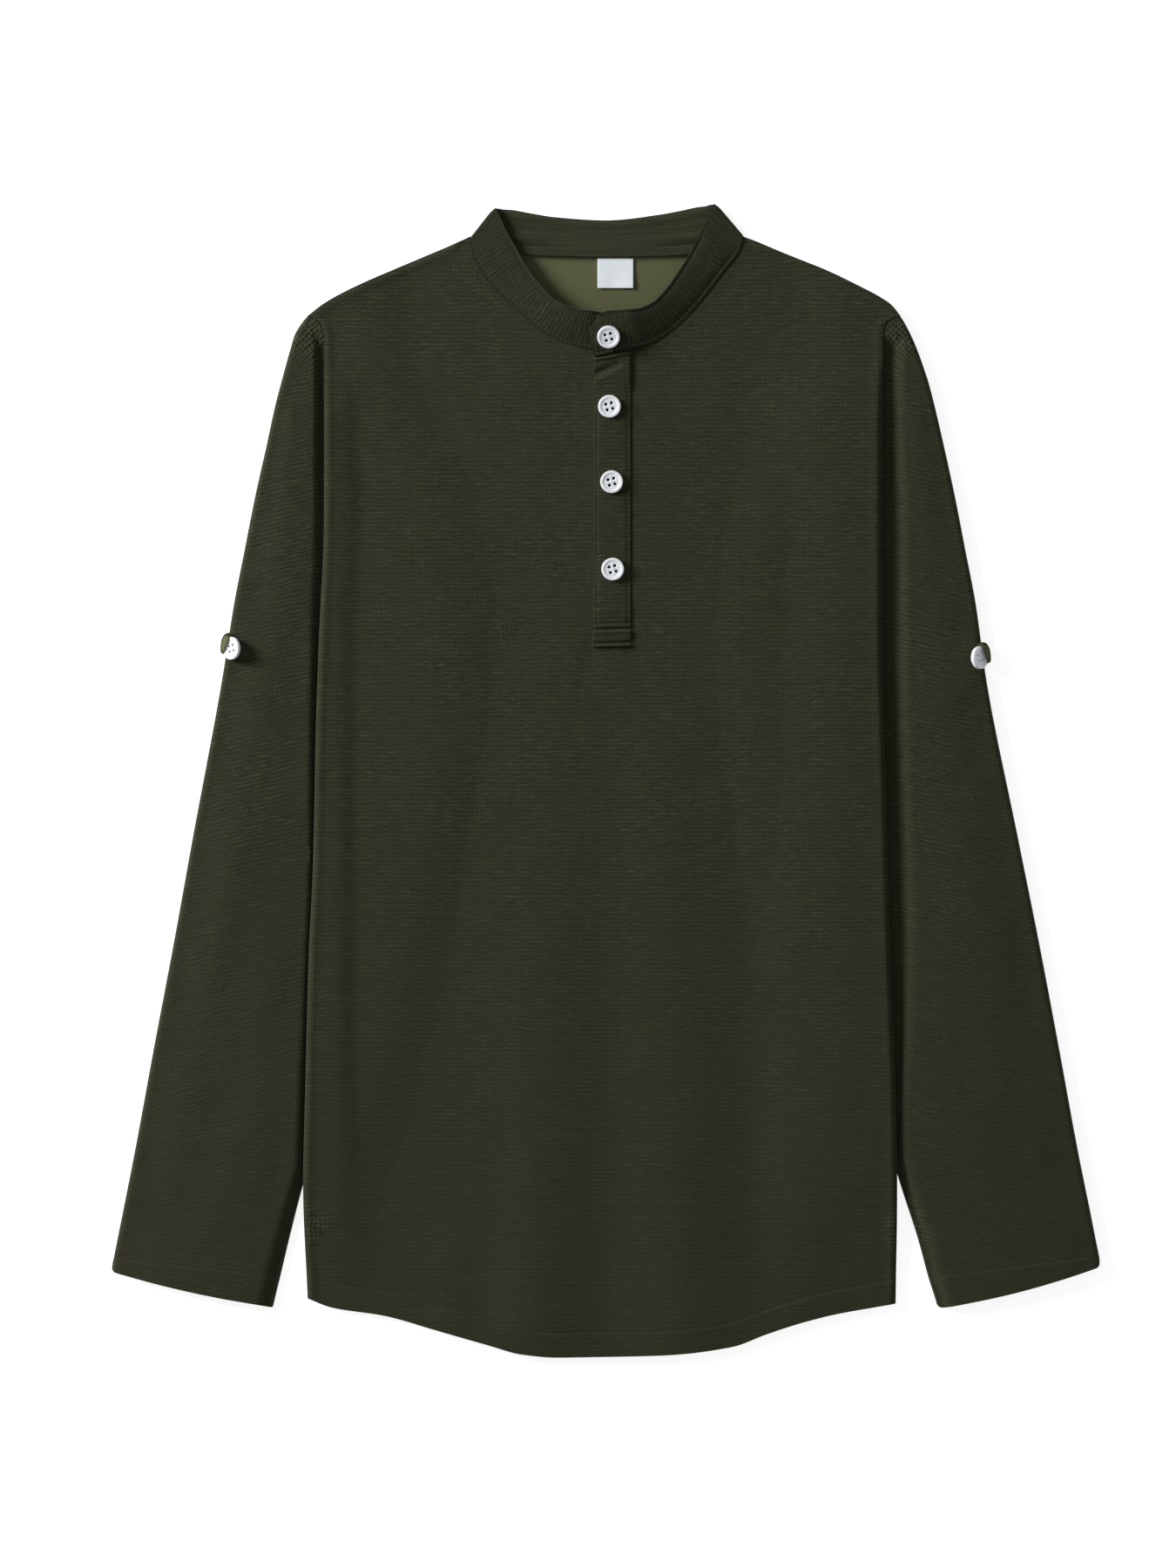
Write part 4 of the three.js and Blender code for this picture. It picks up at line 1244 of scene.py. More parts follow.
    def cut_corner(self) -> None:
        """Cut the upper end's corner off slantwise, between its end and its button."""
        face = self.face
        first = face[0, :, 0].copy()
        ends = [first[0], self.end_corner_x, first[-1]]
        target = np.interp(self.shares(), [0, self.corner_share, 1], ends)
        along = (face[:, 0, 0] - first[0]) / (1.0 - first[0])
        for row in range(int(np.argmax(along > 1))):
            face[row, :, 0] += (target - first) * (1 - along[row])

    def width(self) -> Array:
        """Return the band's width at each station."""
        return norm(self.face[:, -1] - self.face[:, 0], axis=1)

    def raise_relief(self) -> None:
        """Puff the band up between its stitch lines, where it lies face up."""
        shares = self.shares()
        from_edge = np.minimum(shares, 1 - shares) * self.width()[:, None]
        puff = 0.5 * smooth((from_edge - self.stitch_inset) / 6)
        groove = -0.4 * bump(from_edge - self.stitch_inset, 0.7)
        number = np.arange(len(self.face))
        front_plus = smooth((self.lengths[0] - 4 - number) / 12)
        front_minus = smooth((number - sum(self.lengths[:4]) - 4) / 12)
        weight = np.maximum(front_plus, front_minus)[:, None]
        self.face[..., 2] += (puff + groove) * weight

    def crease_back(self) -> None:
        """Lay uneven creases along the back half, with a soft roll near its free edge."""
        first, count = sum(self.lengths[:2]), self.lengths[2]
        t = np.linspace(0, 1, count)[:, None]
        ends = smooth(t / 0.06) * smooth((1 - t) / 0.06)
        across = self.shares()
        relief = ridged(self.back_ridges, across) - 0.5 * smooth((across - 0.93) / 0.07)
        for at, drop, start, end, deep in self.back_creases:
            fade = smooth((t - start) / 0.09) * smooth((end - t) / 0.09)
            relief = relief + deep * fade * bump(across - at - drop * (t - 0.5), 0.045)
        self.face[first : first + count, :, 2] += relief * ends

    def round_tips(self) -> None:
        """Round the two corners where the free edge turns at the side folds."""
        face = self.face
        for side in SIDES:
            root, tip = np.array(COLLAR_FOLD[side])
            arms = [root - tip, BACK_NECK[1].edge(side) - tip]
            out = -sum(arm / norm(arm) for arm in arms)
            out /= norm(out)
            over = (face[..., :2] - tip) @ out + self.tip_radius
            near = norm(face[..., :2] - tip, axis=-1) < 4 * self.tip_radius
            back = np.where(near & (over > 0), over**2 / (3.2 * self.tip_radius), 0.0)
            face[..., :2] -= back[..., None] * out

    def grain(self, seam: Array, edge: Array) -> Array:
        """Set the ribs across the band at the front, and along it at the back.

        Args:
            seam, edge: the band's two edges.

        Returns:
            The grain coordinates.
        """
        across = self.shares() * norm(edge - seam, axis=1)[:, None]
        along = np.broadcast_to(run_lengths((seam + edge) / 2)[:, None], across.shape)
        front = np.stack([across, along], axis=-1)
        number, lengths = np.arange(len(seam)), self.lengths
        first, last = lengths[0] + lengths[1] // 2, sum(lengths[:3]) + lengths[3] // 2
        is_back = ((number > first) & (number <= last))[:, None, None]
        return np.where(is_back, front[..., ::-1], front)

    def stitch_lines(self) -> list[Array]:
        """Trace the band's stitches.

        Returns:
            Lines along both edges of the front halves, and across the lapped end.
        """
        width = self.width()
        front = np.flatnonzero(self.face[..., 2].min(axis=1) > 5.0)
        halves = np.split(front, np.flatnonzero(np.diff(front) > 1)[:1] + 1)
        lines = []
        for rows in halves:
            shares = self.stitch_inset / width[rows]
            for at in (shares, 1 - shares):
                lines.append(np.array([self.across(row, share) for row, share in zip(rows, at)]))
        end = [self.across(1, share) for share in np.linspace(0.1, 0.9, 24)]
        return [*lines, np.array(end)]

    def across(self, row: int, share: float) -> Array:
        """Return a point of a station by its share of the band's width."""
        shares = self.shares()
        return np.array([np.interp(share, shares, self.face[row, :, axis]) for axis in range(3)])


# ---- front and back panels ----


@dataclass
class BodyPanels:
    """The front and the back, cut to the same sides, shoulders and hem."""

    body: LaidBody
    collar: CollarBand
    finish: Finishes
    middle_side: Pair = (-186.0, 181.0)
    straight_columns: float = 100.0
    step: float = 3.3
    lowest: float = -334.0
    highest: float = 298.5
    allowance: float = 3.0
    neck_stitch_inset: float = 2.1
    lean: Pair = (1.5, 2.6)

    def outline(self, neck: dict[int, Array], centre: Sequence[Point]) -> Array:
        """Return the upper edge from one shoulder tip to the other.

        Args:
            neck: the neck edge of each side, shoulder first.
            centre: points between the two halves.

        Returns:
            Points from -X to +X.
        """
        halves = {}
        for side in SIDES:
            tip, root = (SHOULDERS[row][1 if side < 0 else 2] for row in (0, -1))
            xs = np.linspace(tip, root, 60)
            line = np.stack([xs, self.body.shoulders[side](xs)], axis=1)
            halves[side] = np.concatenate([line, neck[side]])
        return np.concatenate([halves[-1], np.asarray(centre, float), halves[1][::-1]])

    def columns(self, centre: Sequence[float], neck: float) -> Array:
        """Space the grid's columns, as if the sides stood upright.

        Args:
            centre: columns of the middle.
            neck: half the width of the neck.

        Returns:
            The columns from -X to +X.
        """
        edge = np.array([0.0, 0.5, 1.0, 1.7, 2.6, 3.6, 4.8, 6.4, 8.6, 11.5])
        made = [spaced(centre, 2.2)]
        for side, middle, root in zip(SIDES, self.middle_side, SHOULDERS[-1][1:]):
            middle_end = centre[0 if side < 0 else -1]
            made += [
                middle - side * edge,
                spaced([middle - side * edge[-1], root + side * 6], self.step),
                spaced([root + side * 6, root], 2.0),
                spaced([root, root - side * 1.2, side * neck, side * 30, middle_end], 1.9),
            ]
        return np.unique(np.concatenate(made).round(4))

    def levels(self) -> Array:
        """Space the grid's rows.

        Returns:
            Distances above the hem, closer at the hem and the top.
        """
        hem = [0, 0.7, 1.6, 3, 5, 7.5, 10, 12, 13.6, 14.8, 15.5, 16, 16.5, 17.2, 18.4, 20, 22.5]
        top = np.array([12, 9, 6.8, 5.2, 4, 3.1, 2.3, 1.6, 1.0, 0.5, 0.2, 0.0])
        height = self.highest - self.lowest
        middle = spaced([hem[-1], height - top[0]], self.step)
        return np.concatenate([hem, middle[1:], height - top[1:]])

    def grid(self, outline: Array, columns: Array) -> tuple[Array, Array]:
        """Fit the grid to the sides, the hem and the upper edge.

        Args:
            outline: the upper edge.
            columns: the columns.

        Returns:
            x and y of its points.
        """
        over = self.levels()[:, None]
        share = over / (self.highest - self.lowest)
        shift = {}
        for side, middle in zip(SIDES, self.middle_side):
            reach = abs(middle) - self.straight_columns
            outward = (np.abs(columns) - self.straight_columns) / reach
            edge = self.body.sides[side](self.lowest + over) - middle
            shift[side] = np.maximum(0.0, outward) * edge
        x = columns + np.where(columns < 0, shift[-1], shift[1])
        bottom = self.body.hem(x[0])
        top = np.interp(x[-1], outline[:, 0], outline[:, 1])
        even = bottom + share * (top - bottom)
        near_hem = bottom + over
        y = near_hem + (even - near_hem) * smooth((over - 20) / 100)
        at_collar = smooth((y - 341.5) / 7) * (1 - smooth((np.abs(x) - 89) / 12))
        return x - np.where(x < 0, -self.lean[0], self.lean[1]) * at_collar, y

    def build_front(self) -> None:
        """Build the front, with its slit under the placket."""
        centre = [(x, NECK_CENTRE_Y - GAP / 2) for x in SLIT]
        outline = self.outline({side: self.collar.panel_edge(side) for side in SIDES}, centre)
        columns = self.columns(SLIT, 60)
        x, y = self.grid(outline, columns)
        z = self.body.front_face(x, y) + self.neck_ridge(x, y, outline)
        in_slit = (columns[:-1] >= SLIT[0] - 0.01) & (columns[1:] <= SLIT[1] + 0.01)
        above = (y[:-1, :-1] + y[1:, :-1]) / 2 > SLIT_END
        face = np.stack([x, y, z], axis=-1)
        cloth = Cloth("front_panel_cloth", face, CLOTH, keep=~(above & in_slit))
        made = cloth.make(self.finish.knit, self.finish.inside)
        front = place(made, "waffle_knit", "front_panel")

    def neck_ridge(self, x: Array, y: Array, outline: Array) -> Array:
        """Raise the neck seam's allowance, with its stitch groove.

        Args:
            x, y: the points.
            outline: the panel's upper edge.

        Returns:
            The height at each point.
        """
        neck = outline[np.abs(outline[:, 0]) < 88.5]
        ridge = np.zeros(x.shape)
        near = (np.abs(x) < 100) & (y > 255)
        spots = np.stack([x[near], y[near]], axis=1)
        away = norm(spots[:, None] - neck[None], axis=2).min(axis=1)
        off_placket = smooth((np.abs(spots[:, 0] - 4) - 12) / 6)
        allowance = 0.3 * (1 - smooth((away - 3.2) / 2.4))
        groove = -0.22 * bump(away - self.neck_stitch_inset, 0.7)
        ridge[near] = (allowance + groove) * off_placket
        return ridge

    def build_back(self) -> None:
        """Build the back, wrong side up, with its allowance under the band."""
        neck = {}
        for side in SIDES:
            first = BACK_NECK[0].seam(side)
            points = [(first[0] + side * GAP / 2, first[1] - GAP / 2)]
            points += [(row.seam(side)[0], row.y + self.allowance) for row in BACK_NECK[1:]]
            neck[side] = np.array(points)
        outline = self.outline(neck, [(0.0, BACK_CENTRE.y + self.allowance)])
        x, y = self.grid(outline, self.columns((-18.0, 0.0, 18.0), 56))
        face = np.stack([x, y, self.body.back_top(x, y)], axis=-1)
        cloth = Cloth("back_panel_cloth", face, CLOTH)
        made = cloth.make(self.finish.inside, self.finish.knit)
        back = place(made, "knit_wrong_side", "back_panel")

    def hem_line(self) -> Array:
        """Return the line of the hem's stitches on the front."""
        xs = np.arange(-188.5, 183.6, 1.5)
        ys = self.body.hem(xs) + self.body.hem_allowance
        return np.stack([xs, ys, self.body.front_face(xs, ys)], axis=1)

    def neck_lines(self) -> list[Array]:
        """Trace the stitches below the neck seam.

        Returns:
            A line for each side.
        """
        lines = []
        for side in SIDES:
            edge = self.collar.panel_edge(side)[2:]
            along = np.gradient(edge, axis=0)
            across = np.stack([-along[:, 1], along[:, 0]], axis=1)
            across /= norm(across, axis=1)[:, None]
            down = across * np.where(across[:, 1:2] > 0, -1, 1)
            inset = edge + down * self.neck_stitch_inset
            z = self.body.front_top(inset[:, 0], inset[:, 1]) + 0.1
            lines.append(np.column_stack([inset, z]))
        return lines


# ---- sleeves ----

SLEEVE_CREASES = {
    -1: (
        Crease((-203, 236), (-216, 150), 7, 0.5, 0.1),
        Crease((-222, 120), (-196, 62), 9, -0.6, -0.2),
        Crease((-238, 60), (-204, 26), 8, 0.55, 0.2),
        Crease((-246, 20), (-206, 2), 9, -0.5, -0.3),
        Crease((-232, -30), (-262, -190), 16, 0.8, 0.5),
        Crease((-276, -120), (-250, -205), 12, -0.5, -0.3),
        Crease((-236, -230), (-262, -318), 15, 0.5, 0.2),
        Crease((-294, -236), (-286, -300), 10, -0.35, -0.2),
    ),
    1: (
        Crease((198, 236), (210, 160), 7, 0.45, 0.1),
        Crease((214, 128), (192, 84), 8, -0.5, -0.2),
        Crease((236, 62), (204, 40), 9, 0.6, 0.25),
        Crease((244, 14), (204, -10), 9, -0.55, -0.3),
        Crease((228, -40), (254, -200), 16, 0.9, 0.5),
        Crease((272, -108), (262, -216), 12, -0.6, -0.3),
        Crease((240, -236), (262, -312), 14, 0.45, 0.2),
        Crease((292, -246), (284, -304), 10, -0.3, -0.2),
    ),
}


class FoldStyle(Enum):
    """How a cuff's corner is turned at a fold."""

    ROUND = 3.6
    CRISP = 0.9


SLEEVE_STYLES = {
    -1: dict(
        valley=Profile((-340, -200, -114, 165, 300), (0, 0, 0, 1.0, 1.0)),
        bank=Profile((-340, -240, -114, 165, 300), (8, 5, 2.5, 6.5, 6.5)),
        inner_corner=FoldStyle.CRISP,
        seed=23,
    ),
    1: dict(
        valley=Profile((-340, -240, -200, -150, -60, 140, 220, 300), (0, 0, 1, 5, 8.5, 8.5, 5.5, 5)),
        bank=Profile((-340, -240, -187, -100, 140, 300), (8, 6.5, 6, 9, 10, 10)),
        inner_corner=FoldStyle.ROUND,
        seed=37,
        cuff_bow=2.4,
        cuff_turn=(1.2, -3.2),
    ),
}


@dataclass
class Sleeve:
    """One sleeve: a flattened tube from the cap to the cuff."""

    side: int
    body: LaidBody
    finish: Finishes
    valley: Profile
    bank: Profile
    inner_corner: FoldStyle
    seed: int
    outer_corner: FoldStyle = FoldStyle.ROUND
    loft: float = 7.9
    fold_height: float = 6.7
    crown_reach: Pair = (34.0, 26.0)
    cap_height: float = 6.3
    cap_y: Pair = (276.0, 288.0)
    tuck_y: float = 298.2
    seam_groove: float = 0.03
    cuff_bow: float = 1.8
    bow_length: float = 14.0
    cuff_turn: Pair = (0.0, 0.0)
    turn_length: float = 34.0
    cuff_allowance: float = 15.0
    cuff_rows: tuple[float, ...] = (
        22, 19, 17.2, 16.2, 15.6, 15, 14.4, 13.8, 12.6, 10.5, 8, 5.5, 3.6, 2.2, 1, 0
    )
    step: float = 3.3

    @property
    def name(self) -> str:
        """The sleeve's name, from the wearer's side."""
        return "right_sleeve" if self.side < 0 else "left_sleeve"

    def stations(self) -> tuple[Array, Array]:
        """Space the sections, closer together at the cuff.

        Returns:
            The outer and the inner fold's points.
        """
        rows, x = np.array(SLEEVE_ROWS), 1 if self.side < 0 else 2
        folds = rows[:, [x, 0]], rows[:, [x + 3, 3]]
        keys = run_lengths(*folds)
        cuff = keys[-1] - np.array(self.cuff_rows)
        at = np.concatenate([spaced([0, 22], 1.8)[:-1], spaced([22, cuff[0]], self.step)[:-1], cuff])
        self.from_cuff = keys[-1] - at
        outer, inner = (
            np.stack([Profile(keys, column)(at) for column in points.T], axis=1) for points in folds
        )
        return outer, inner

    def top(self, from_body: Array, from_fold: Array, y: float) -> Array:
        """Return the height of the top.

        Args:
            from_body: distance from the body's edge.
            from_fold: distance from the outer fold.
            y: where along the sleeve.

        Returns:
            The height at each point.
        """
        free = from_body - self.valley(y)
        cap = smooth((y - self.cap_y[0]) / (self.cap_y[1] - self.cap_y[0]))
        past_groove = smooth((from_body - self.seam_groove) / 0.2)
        at_seam = (self.cap_height - SLEEVE_STACK) * cap * past_groove
        bank = (self.fold_height - SLEEVE_STACK) * smooth(free / self.bank(y))
        inner, outer = self.crown_reach
        crown = (self.loft - self.fold_height) * smooth(free / inner) * smooth(from_fold / outer)
        risen = np.maximum(at_seam, bank) + crown * (1 - 0.6 * cap)
        return SLEEVE_STACK + risen * float(smooth((self.tuck_y - y) / 0.8))

    def section(self, width: float, hidden: float, y: float) -> tuple[Array, Array, Array]:
        """Return one section, from the inner fold along the underside and back over the top.

        Args:
            width: distance between the two folds.
            hidden: how much of it lies under the body.
            y: where along the sleeve.

        Returns:
            The distance from the inner fold, the height, and how far the point is open to creases.
        """
        small = SLEEVE_STACK / 2
        edge = max(hidden + self.seam_groove, small + 0.8)
        big = float(self.top(np.array(width - hidden), np.array(0.0), y)) / 2
        reach = min(big, 0.7 * (width - edge))
        fold_at = width - reach
        arc = np.radians(np.linspace(-90, 90, 11)[1:-1])
        under = np.linspace(small, fold_at, 16)
        shares = [0, 0.02, 0.05, 0.09, 0.14, *np.linspace(0.2, 0.82, 19)]
        shares += [0.86, 0.9, 0.93, 0.96, 0.98, 0.992, 1.0]
        shown = fold_at + (edge - fold_at) * np.array(shares)
        shown_z = self.top(shown - edge + self.seam_groove, fold_at - shown, y)
        tucked = np.linspace(edge, small, 8)[1:]
        clear = smooth((shown - hidden - float(self.valley(y)) - 2) / 12)
        parts = (
            (under, 0.0, 0.0),
            (fold_at + reach * np.cos(arc), big + big * np.sin(arc), 0.0),
            (shown, shown_z, clear * smooth((fold_at - shown) / 10)),
            (tucked, SLEEVE_STACK, 0.0),
            (small - small * np.cos(arc), small - small * np.sin(arc), 0.0),
        )
        return tuple(np.concatenate([np.stack(np.broadcast_arrays(*part)) for part in parts], axis=1))

    def build(self) -> None:
        """Build the sleeve."""
        outer, inner = self.stations()
        waves = Unevenness(self.seed, 0.08, 40, 110)
        rows, grain = [], []
        for row, (out_point, in_point) in enumerate(zip(outer, inner)):
            across = out_point - in_point
            width = float(norm(across))
            across /= width
            mid_y = (out_point[1] + in_point[1]) / 2
            hidden = abs(float(self.body.sides[self.side](mid_y))) - abs(in_point[0])
            at, z, open_to = self.section(width, max(0.0, hidden), mid_y)
            spot = in_point[None] + across[None] * at[:, None]
            spot = spot + self.cuff_shift(at, z, width, row, across)
            z = z + open_to * (creased(SLEEVE_CREASES[self.side], *spot.T) + waves(*spot.T))
            z = z + self.cuff_relief(z, width - at, row) + self.tab_lift(spot, z)
            rows.append(np.column_stack([spot, z]))
            grain.append(self.grain_of(spot))
        self.face = np.array(rows)
        cloth = Cloth(f"{self.name}_cloth", self.face, CLOTH, np.array(grain), wrap=True)
        piece = place(cloth.make(self.finish.knit, self.finish.inside), "waffle_knit", self.name)

    def cuff_shift(self, at: Array, z: Array, width: float, row: int, across: Array) -> Array:
        """Return how the cuff's edge bows and rounds its corners, on every layer.

        Args:
            at: distance of each point from the inner fold.
            z: height of each point.
            width: distance between the two folds.
            row: the section's number.
            across: level direction from the inner fold to the outer one.

        Returns:
            The shift in plan of each point.
        """
        near = float(1 - smooth(self.from_cuff[row] / self.bow_length))
        down = np.array([-across[1], across[0]])
        down = down if down[1] < 0 else -down
        bow = self.cuff_bow * np.sin(np.pi * np.clip(at / width, 0, 1))
        corner = np.zeros(at.shape)
        for distance, style in ((at, self.inner_corner), (width - at, self.outer_corner)):
            r = style.value
            corner += r - np.sqrt(np.maximum(0.0, r**2 - np.clip(r - distance, 0, r) ** 2))
        turn = np.interp(at, [0, width], self.cuff_turn)
        lip = 0.7 * (z < 1.0) if self.side < 0 else 0.0
        turned = turn * float(1 - smooth(self.from_cuff[row] / self.turn_length))
        return ((bow - corner + lip) * near + turned)[:, None] * down[None]

    def cuff_relief(self, z: Array, from_fold: Array, row: int) -> Array:
        """Raise the cuff's allowance, with its stitch groove, on the top layer.

        Args:
            z: height of each point.
            from_fold: distance of each point from the outer fold.
            row: the section's number.

        Returns:
            The height to add at each point.
        """
        over = self.from_cuff[row]
        on_top = smooth((z - 2.6) / 0.6) * smooth((from_fold - 2) / 4)
        allowance = 0.4 * (1 - smooth((over - self.cuff_allowance) / 2.5))
        groove = -0.45 * bump(np.array(over - self.cuff_allowance), 0.9)
        return on_top * (allowance + groove)

    def tab_lift(self, spot: Array, z: Array) -> Array:
        """Return the slight lift of the cloth at the roll-up tab."""
        tab = SLEEVE_TABS[self.side]
        away = np.hypot(spot[:, 0] - (tab.fold_x - self.side * 6), spot[:, 1] - tab.y)
        return 1.5 * bump(away, 9) * smooth((z - 3.5) / 1.5)

    def grain_of(self, spot: Array) -> Array:
        """Lay the knit in a section: it leans with the sleeve, and turns further at the cap.

        Args:
            spot: the section's points in plan.

        Returns:
            The grain coordinates, with one more at the end to close the tube.
        """
        at_cap = float(smooth((np.mean(spot[:, 1]) - 256) / 18))
        angle = -self.side * math.radians(12 + 33 * at_cap)
        x, y = (spot - [self.side * 193.0, 276.0]).T
        u = x * math.cos(angle) + y * math.sin(angle)
        v = -x * math.sin(angle) + y * math.cos(angle)
        flat = np.column_stack([u, v])
        return np.vstack([flat, flat[:1]])

    def cuff_line(self) -> Array:
        """Return the line of the cuff's stitches on the top layer."""
        row = int(np.argmin(np.abs(self.from_cuff - self.cuff_allowance)))
        ring = self.face[row]
        return ring[ring[:, 2] > ring[:, 2].max() - 1.6]


# ---- placket and label ----

STRIP_CREASES = (
    Crease((-6.0, 262.2), (7.0, 267.6), 2.4, -2.2, -1.2),
    Crease((-5.5, 257.2), (9.0, 263.8), 2.2, 0.45, 0.15),
    Crease((-6, 232), (-2, 214), 3.0, -0.22, -0.08),
    Crease((13, 226), (9, 205), 3.2, -0.2, -0.06),
    Crease((-5, 178), (0, 160), 3.0, -0.2, -0.06),
    Crease((13, 128), (10, 108), 3.2, -0.24, -0.1),
    Crease((-6, 120), (-1, 106), 3.0, -0.24, -0.1),
)


@dataclass
class Placket:
    """The half placket: the strip that shows, its stitched end, and the strip under it.

    The box ridges lie by their height up the strip, and the roll ridges by how far they lie below
    the line where it rolls over.
    """

    body: LaidBody
    finish: Finishes
    left: float = -8.1
    right: float = 15.8
    box_left: float = -9.6
    box_right: float = 16.2
    box_top: float = 97.8
    bottom: float = 86.4
    stitch_inset: float = 1.9
    stitch_ends: Point = (110.8, 258.0)
    box_slope: float = 0.035
    box_ridges: tuple[Ridge, ...] = (
        Ridge(87.1, 0.6, 0.6),
        Ridge(88.8, -1.4, 0.9),
        Ridge(95.6, 0.8, 0.8),
        Ridge(97.6, -1.5, 1.1),
        Ridge(101.5, -0.8, 0.9),
        Ridge(104.4, -0.65, 0.8),
        Ridge(107.0, -0.45, 0.8),
    )
    roll_ridges: tuple[Ridge, ...] = (Ridge(0.7, 1.3, 1.0), Ridge(-1.4, -1.0, 0.9))
    deepest: float = -0.9
    grain_shift: float = 0.9

    def side_edges(self, y: Array) -> tuple[Array, Array]:
        """Return the strip's left and right edges, which spread a little at its boxed end."""
        widen = np.clip((self.box_top + 1 - y) / (self.box_top - self.bottom), 0, 1)
        left = self.left + (self.box_left - self.left) * widen
        return left, self.right + (self.box_right - self.right) * widen

    def top_edge(self, x: Array) -> Array:
        """Return the strip's upper edge, just under the band's lapped end."""
        return np.minimum(self.roll_line(x) + 3.0 + 0.04 * (x - self.left), 278.6)

    def roll_line(self, x: Array) -> Array:
        """Return the slanting line where the strip is rolled over below the band."""
        return 271.2 + 0.19 * (x - self.left)

    def strip_top(self, x: Array, y: Array) -> Array:
        """Return the face of the strip, without its relief."""
        return self.body.front_top(x, y) + GAP + STRIP_WALL

    def relief(self, x: Array, y: Array) -> Array:
        """Raise the strip's stitches, its boxed end, its roll and its creases.

        Args:
            x, y: the points.

        Returns:
            The height to add at each point.
        """
        left, right = self.side_edges(y)
        edge = np.minimum(x - left, right - x)
        along = smooth((y - self.box_top) / 3) * (1 - smooth((y - 252) / 6))
        sides = -0.4 * bump(edge - self.stitch_inset, 0.7) * along
        puff = 0.2 * smooth((edge - self.stitch_inset) / 4) - 0.5 * bump(edge, 0.7)
        box = ridged(self.box_ridges, y - self.box_slope * (x - 4))
        roll = ridged(self.roll_ridges, self.roll_line(x) - y)
        raised = 0.5 * (1 - smooth((y - 106) / 9)) + 0.9 * smooth((y - 249) / 8)
        relief = sides + puff + box + roll + raised + creased(STRIP_CREASES, x, y)
        return np.maximum(relief, self.deepest)

    def strip_face(self, x: Array, y: Array) -> Array:
        """Return the face of the strip with its relief."""
        return self.strip_top(x, y) + self.relief(x, y)

    def build_top(self) -> None:
        """Build the strip that shows."""
        near = np.array([0, 0.025, 0.05, 0.075, 0.1, 0.13])
        share = np.concatenate([near, np.linspace(0.18, 0.82, 13), 1 - near[::-1]])
        levels = np.concatenate([
            spaced([self.bottom, self.box_top + 15], 0.5),
            spaced([self.box_top + 15, 255], 2.0)[1:],
            spaced([255, self.top_edge(np.array(self.left))], 0.45)[1:],
        ])
        left, right = self.side_edges(levels)
        x = left[:, None] + (right - left)[:, None] * share[None]
        slant = (self.top_edge(x) - levels[-1]) * smooth((levels[:, None] - 250) / (levels[-1] - 250))
        y = levels[:, None] + slant
        face = np.stack([x, y, self.strip_face(x, y)], axis=-1)
        grain = face[..., :2] + self.grain_shift
        cloth = Cloth("placket_top_cloth", face, STRIP_WALL, grain, rim=0.35)
        knit = self.finish.placket_knit
        strip = place(cloth.make(knit, knit), "waffle_knit", "placket_top_strip")

    def build_under(self) -> None:
        """Build the strip under the slit."""
        x, y = np.meshgrid(spaced([SLIT[0] + GAP, SLIT[1] - GAP], 2.2), spaced([105, 276.6], 2.6))
        face = np.stack([x, y, self.body.front_top(x, y)], axis=-1)
        cloth = Cloth("placket_under_cloth", face, CLOTH)
        knit = self.finish.knit
        strip = place(cloth.make(knit, knit), "waffle_knit", "placket_under_strip")

    def stitch_lines(self) -> list[Array]:
        """Trace the stitches down both sides.

        Returns:
            The two lines.
        """
        ys = np.arange(*self.stitch_ends, 1.5)
        columns = (self.left + self.stitch_inset, self.right - self.stitch_inset)
        xs = [np.full(ys.size, x) for x in columns]
        return [np.column_stack([x, ys, self.strip_face(x, ys)]) for x in xs]


@dataclass
class NeckLabel:
    """The bare woven label at centre back."""

    body: LaidBody
    finish: Finishes
    left: float = -5.6
    right: float = 17.4
    bottom: float = 317.2
    top: float = 336.3
    thickness: float = 0.7

    def build(self) -> None:
        """Build the label, a little curled at its lower edge."""
        x, y = np.meshgrid(spaced([self.left, self.right], 0.8), spaced([self.bottom, self.top], 0.8))
        share = (x - self.left) / (self.right - self.left)
        down = (self.top - y) / (self.top - self.bottom)
        curl = 0.5 * down**3 + 0.45 * down**2 * (share - 0.4) ** 2
        wave = 0.12 * np.sin(share * 7.0 + down * 2.0) * down
        z = self.body.back_top(x, y) + GAP + self.thickness + curl + wave
        face = np.stack([x, y, z], axis=-1)
        cloth = Cloth("neck_label_cloth", face, self.thickness, rim=0.16)
        label = place(cloth.make(self.finish.satin, self.finish.satin), "label_satin", "neck_label")


# ---- stitches ----


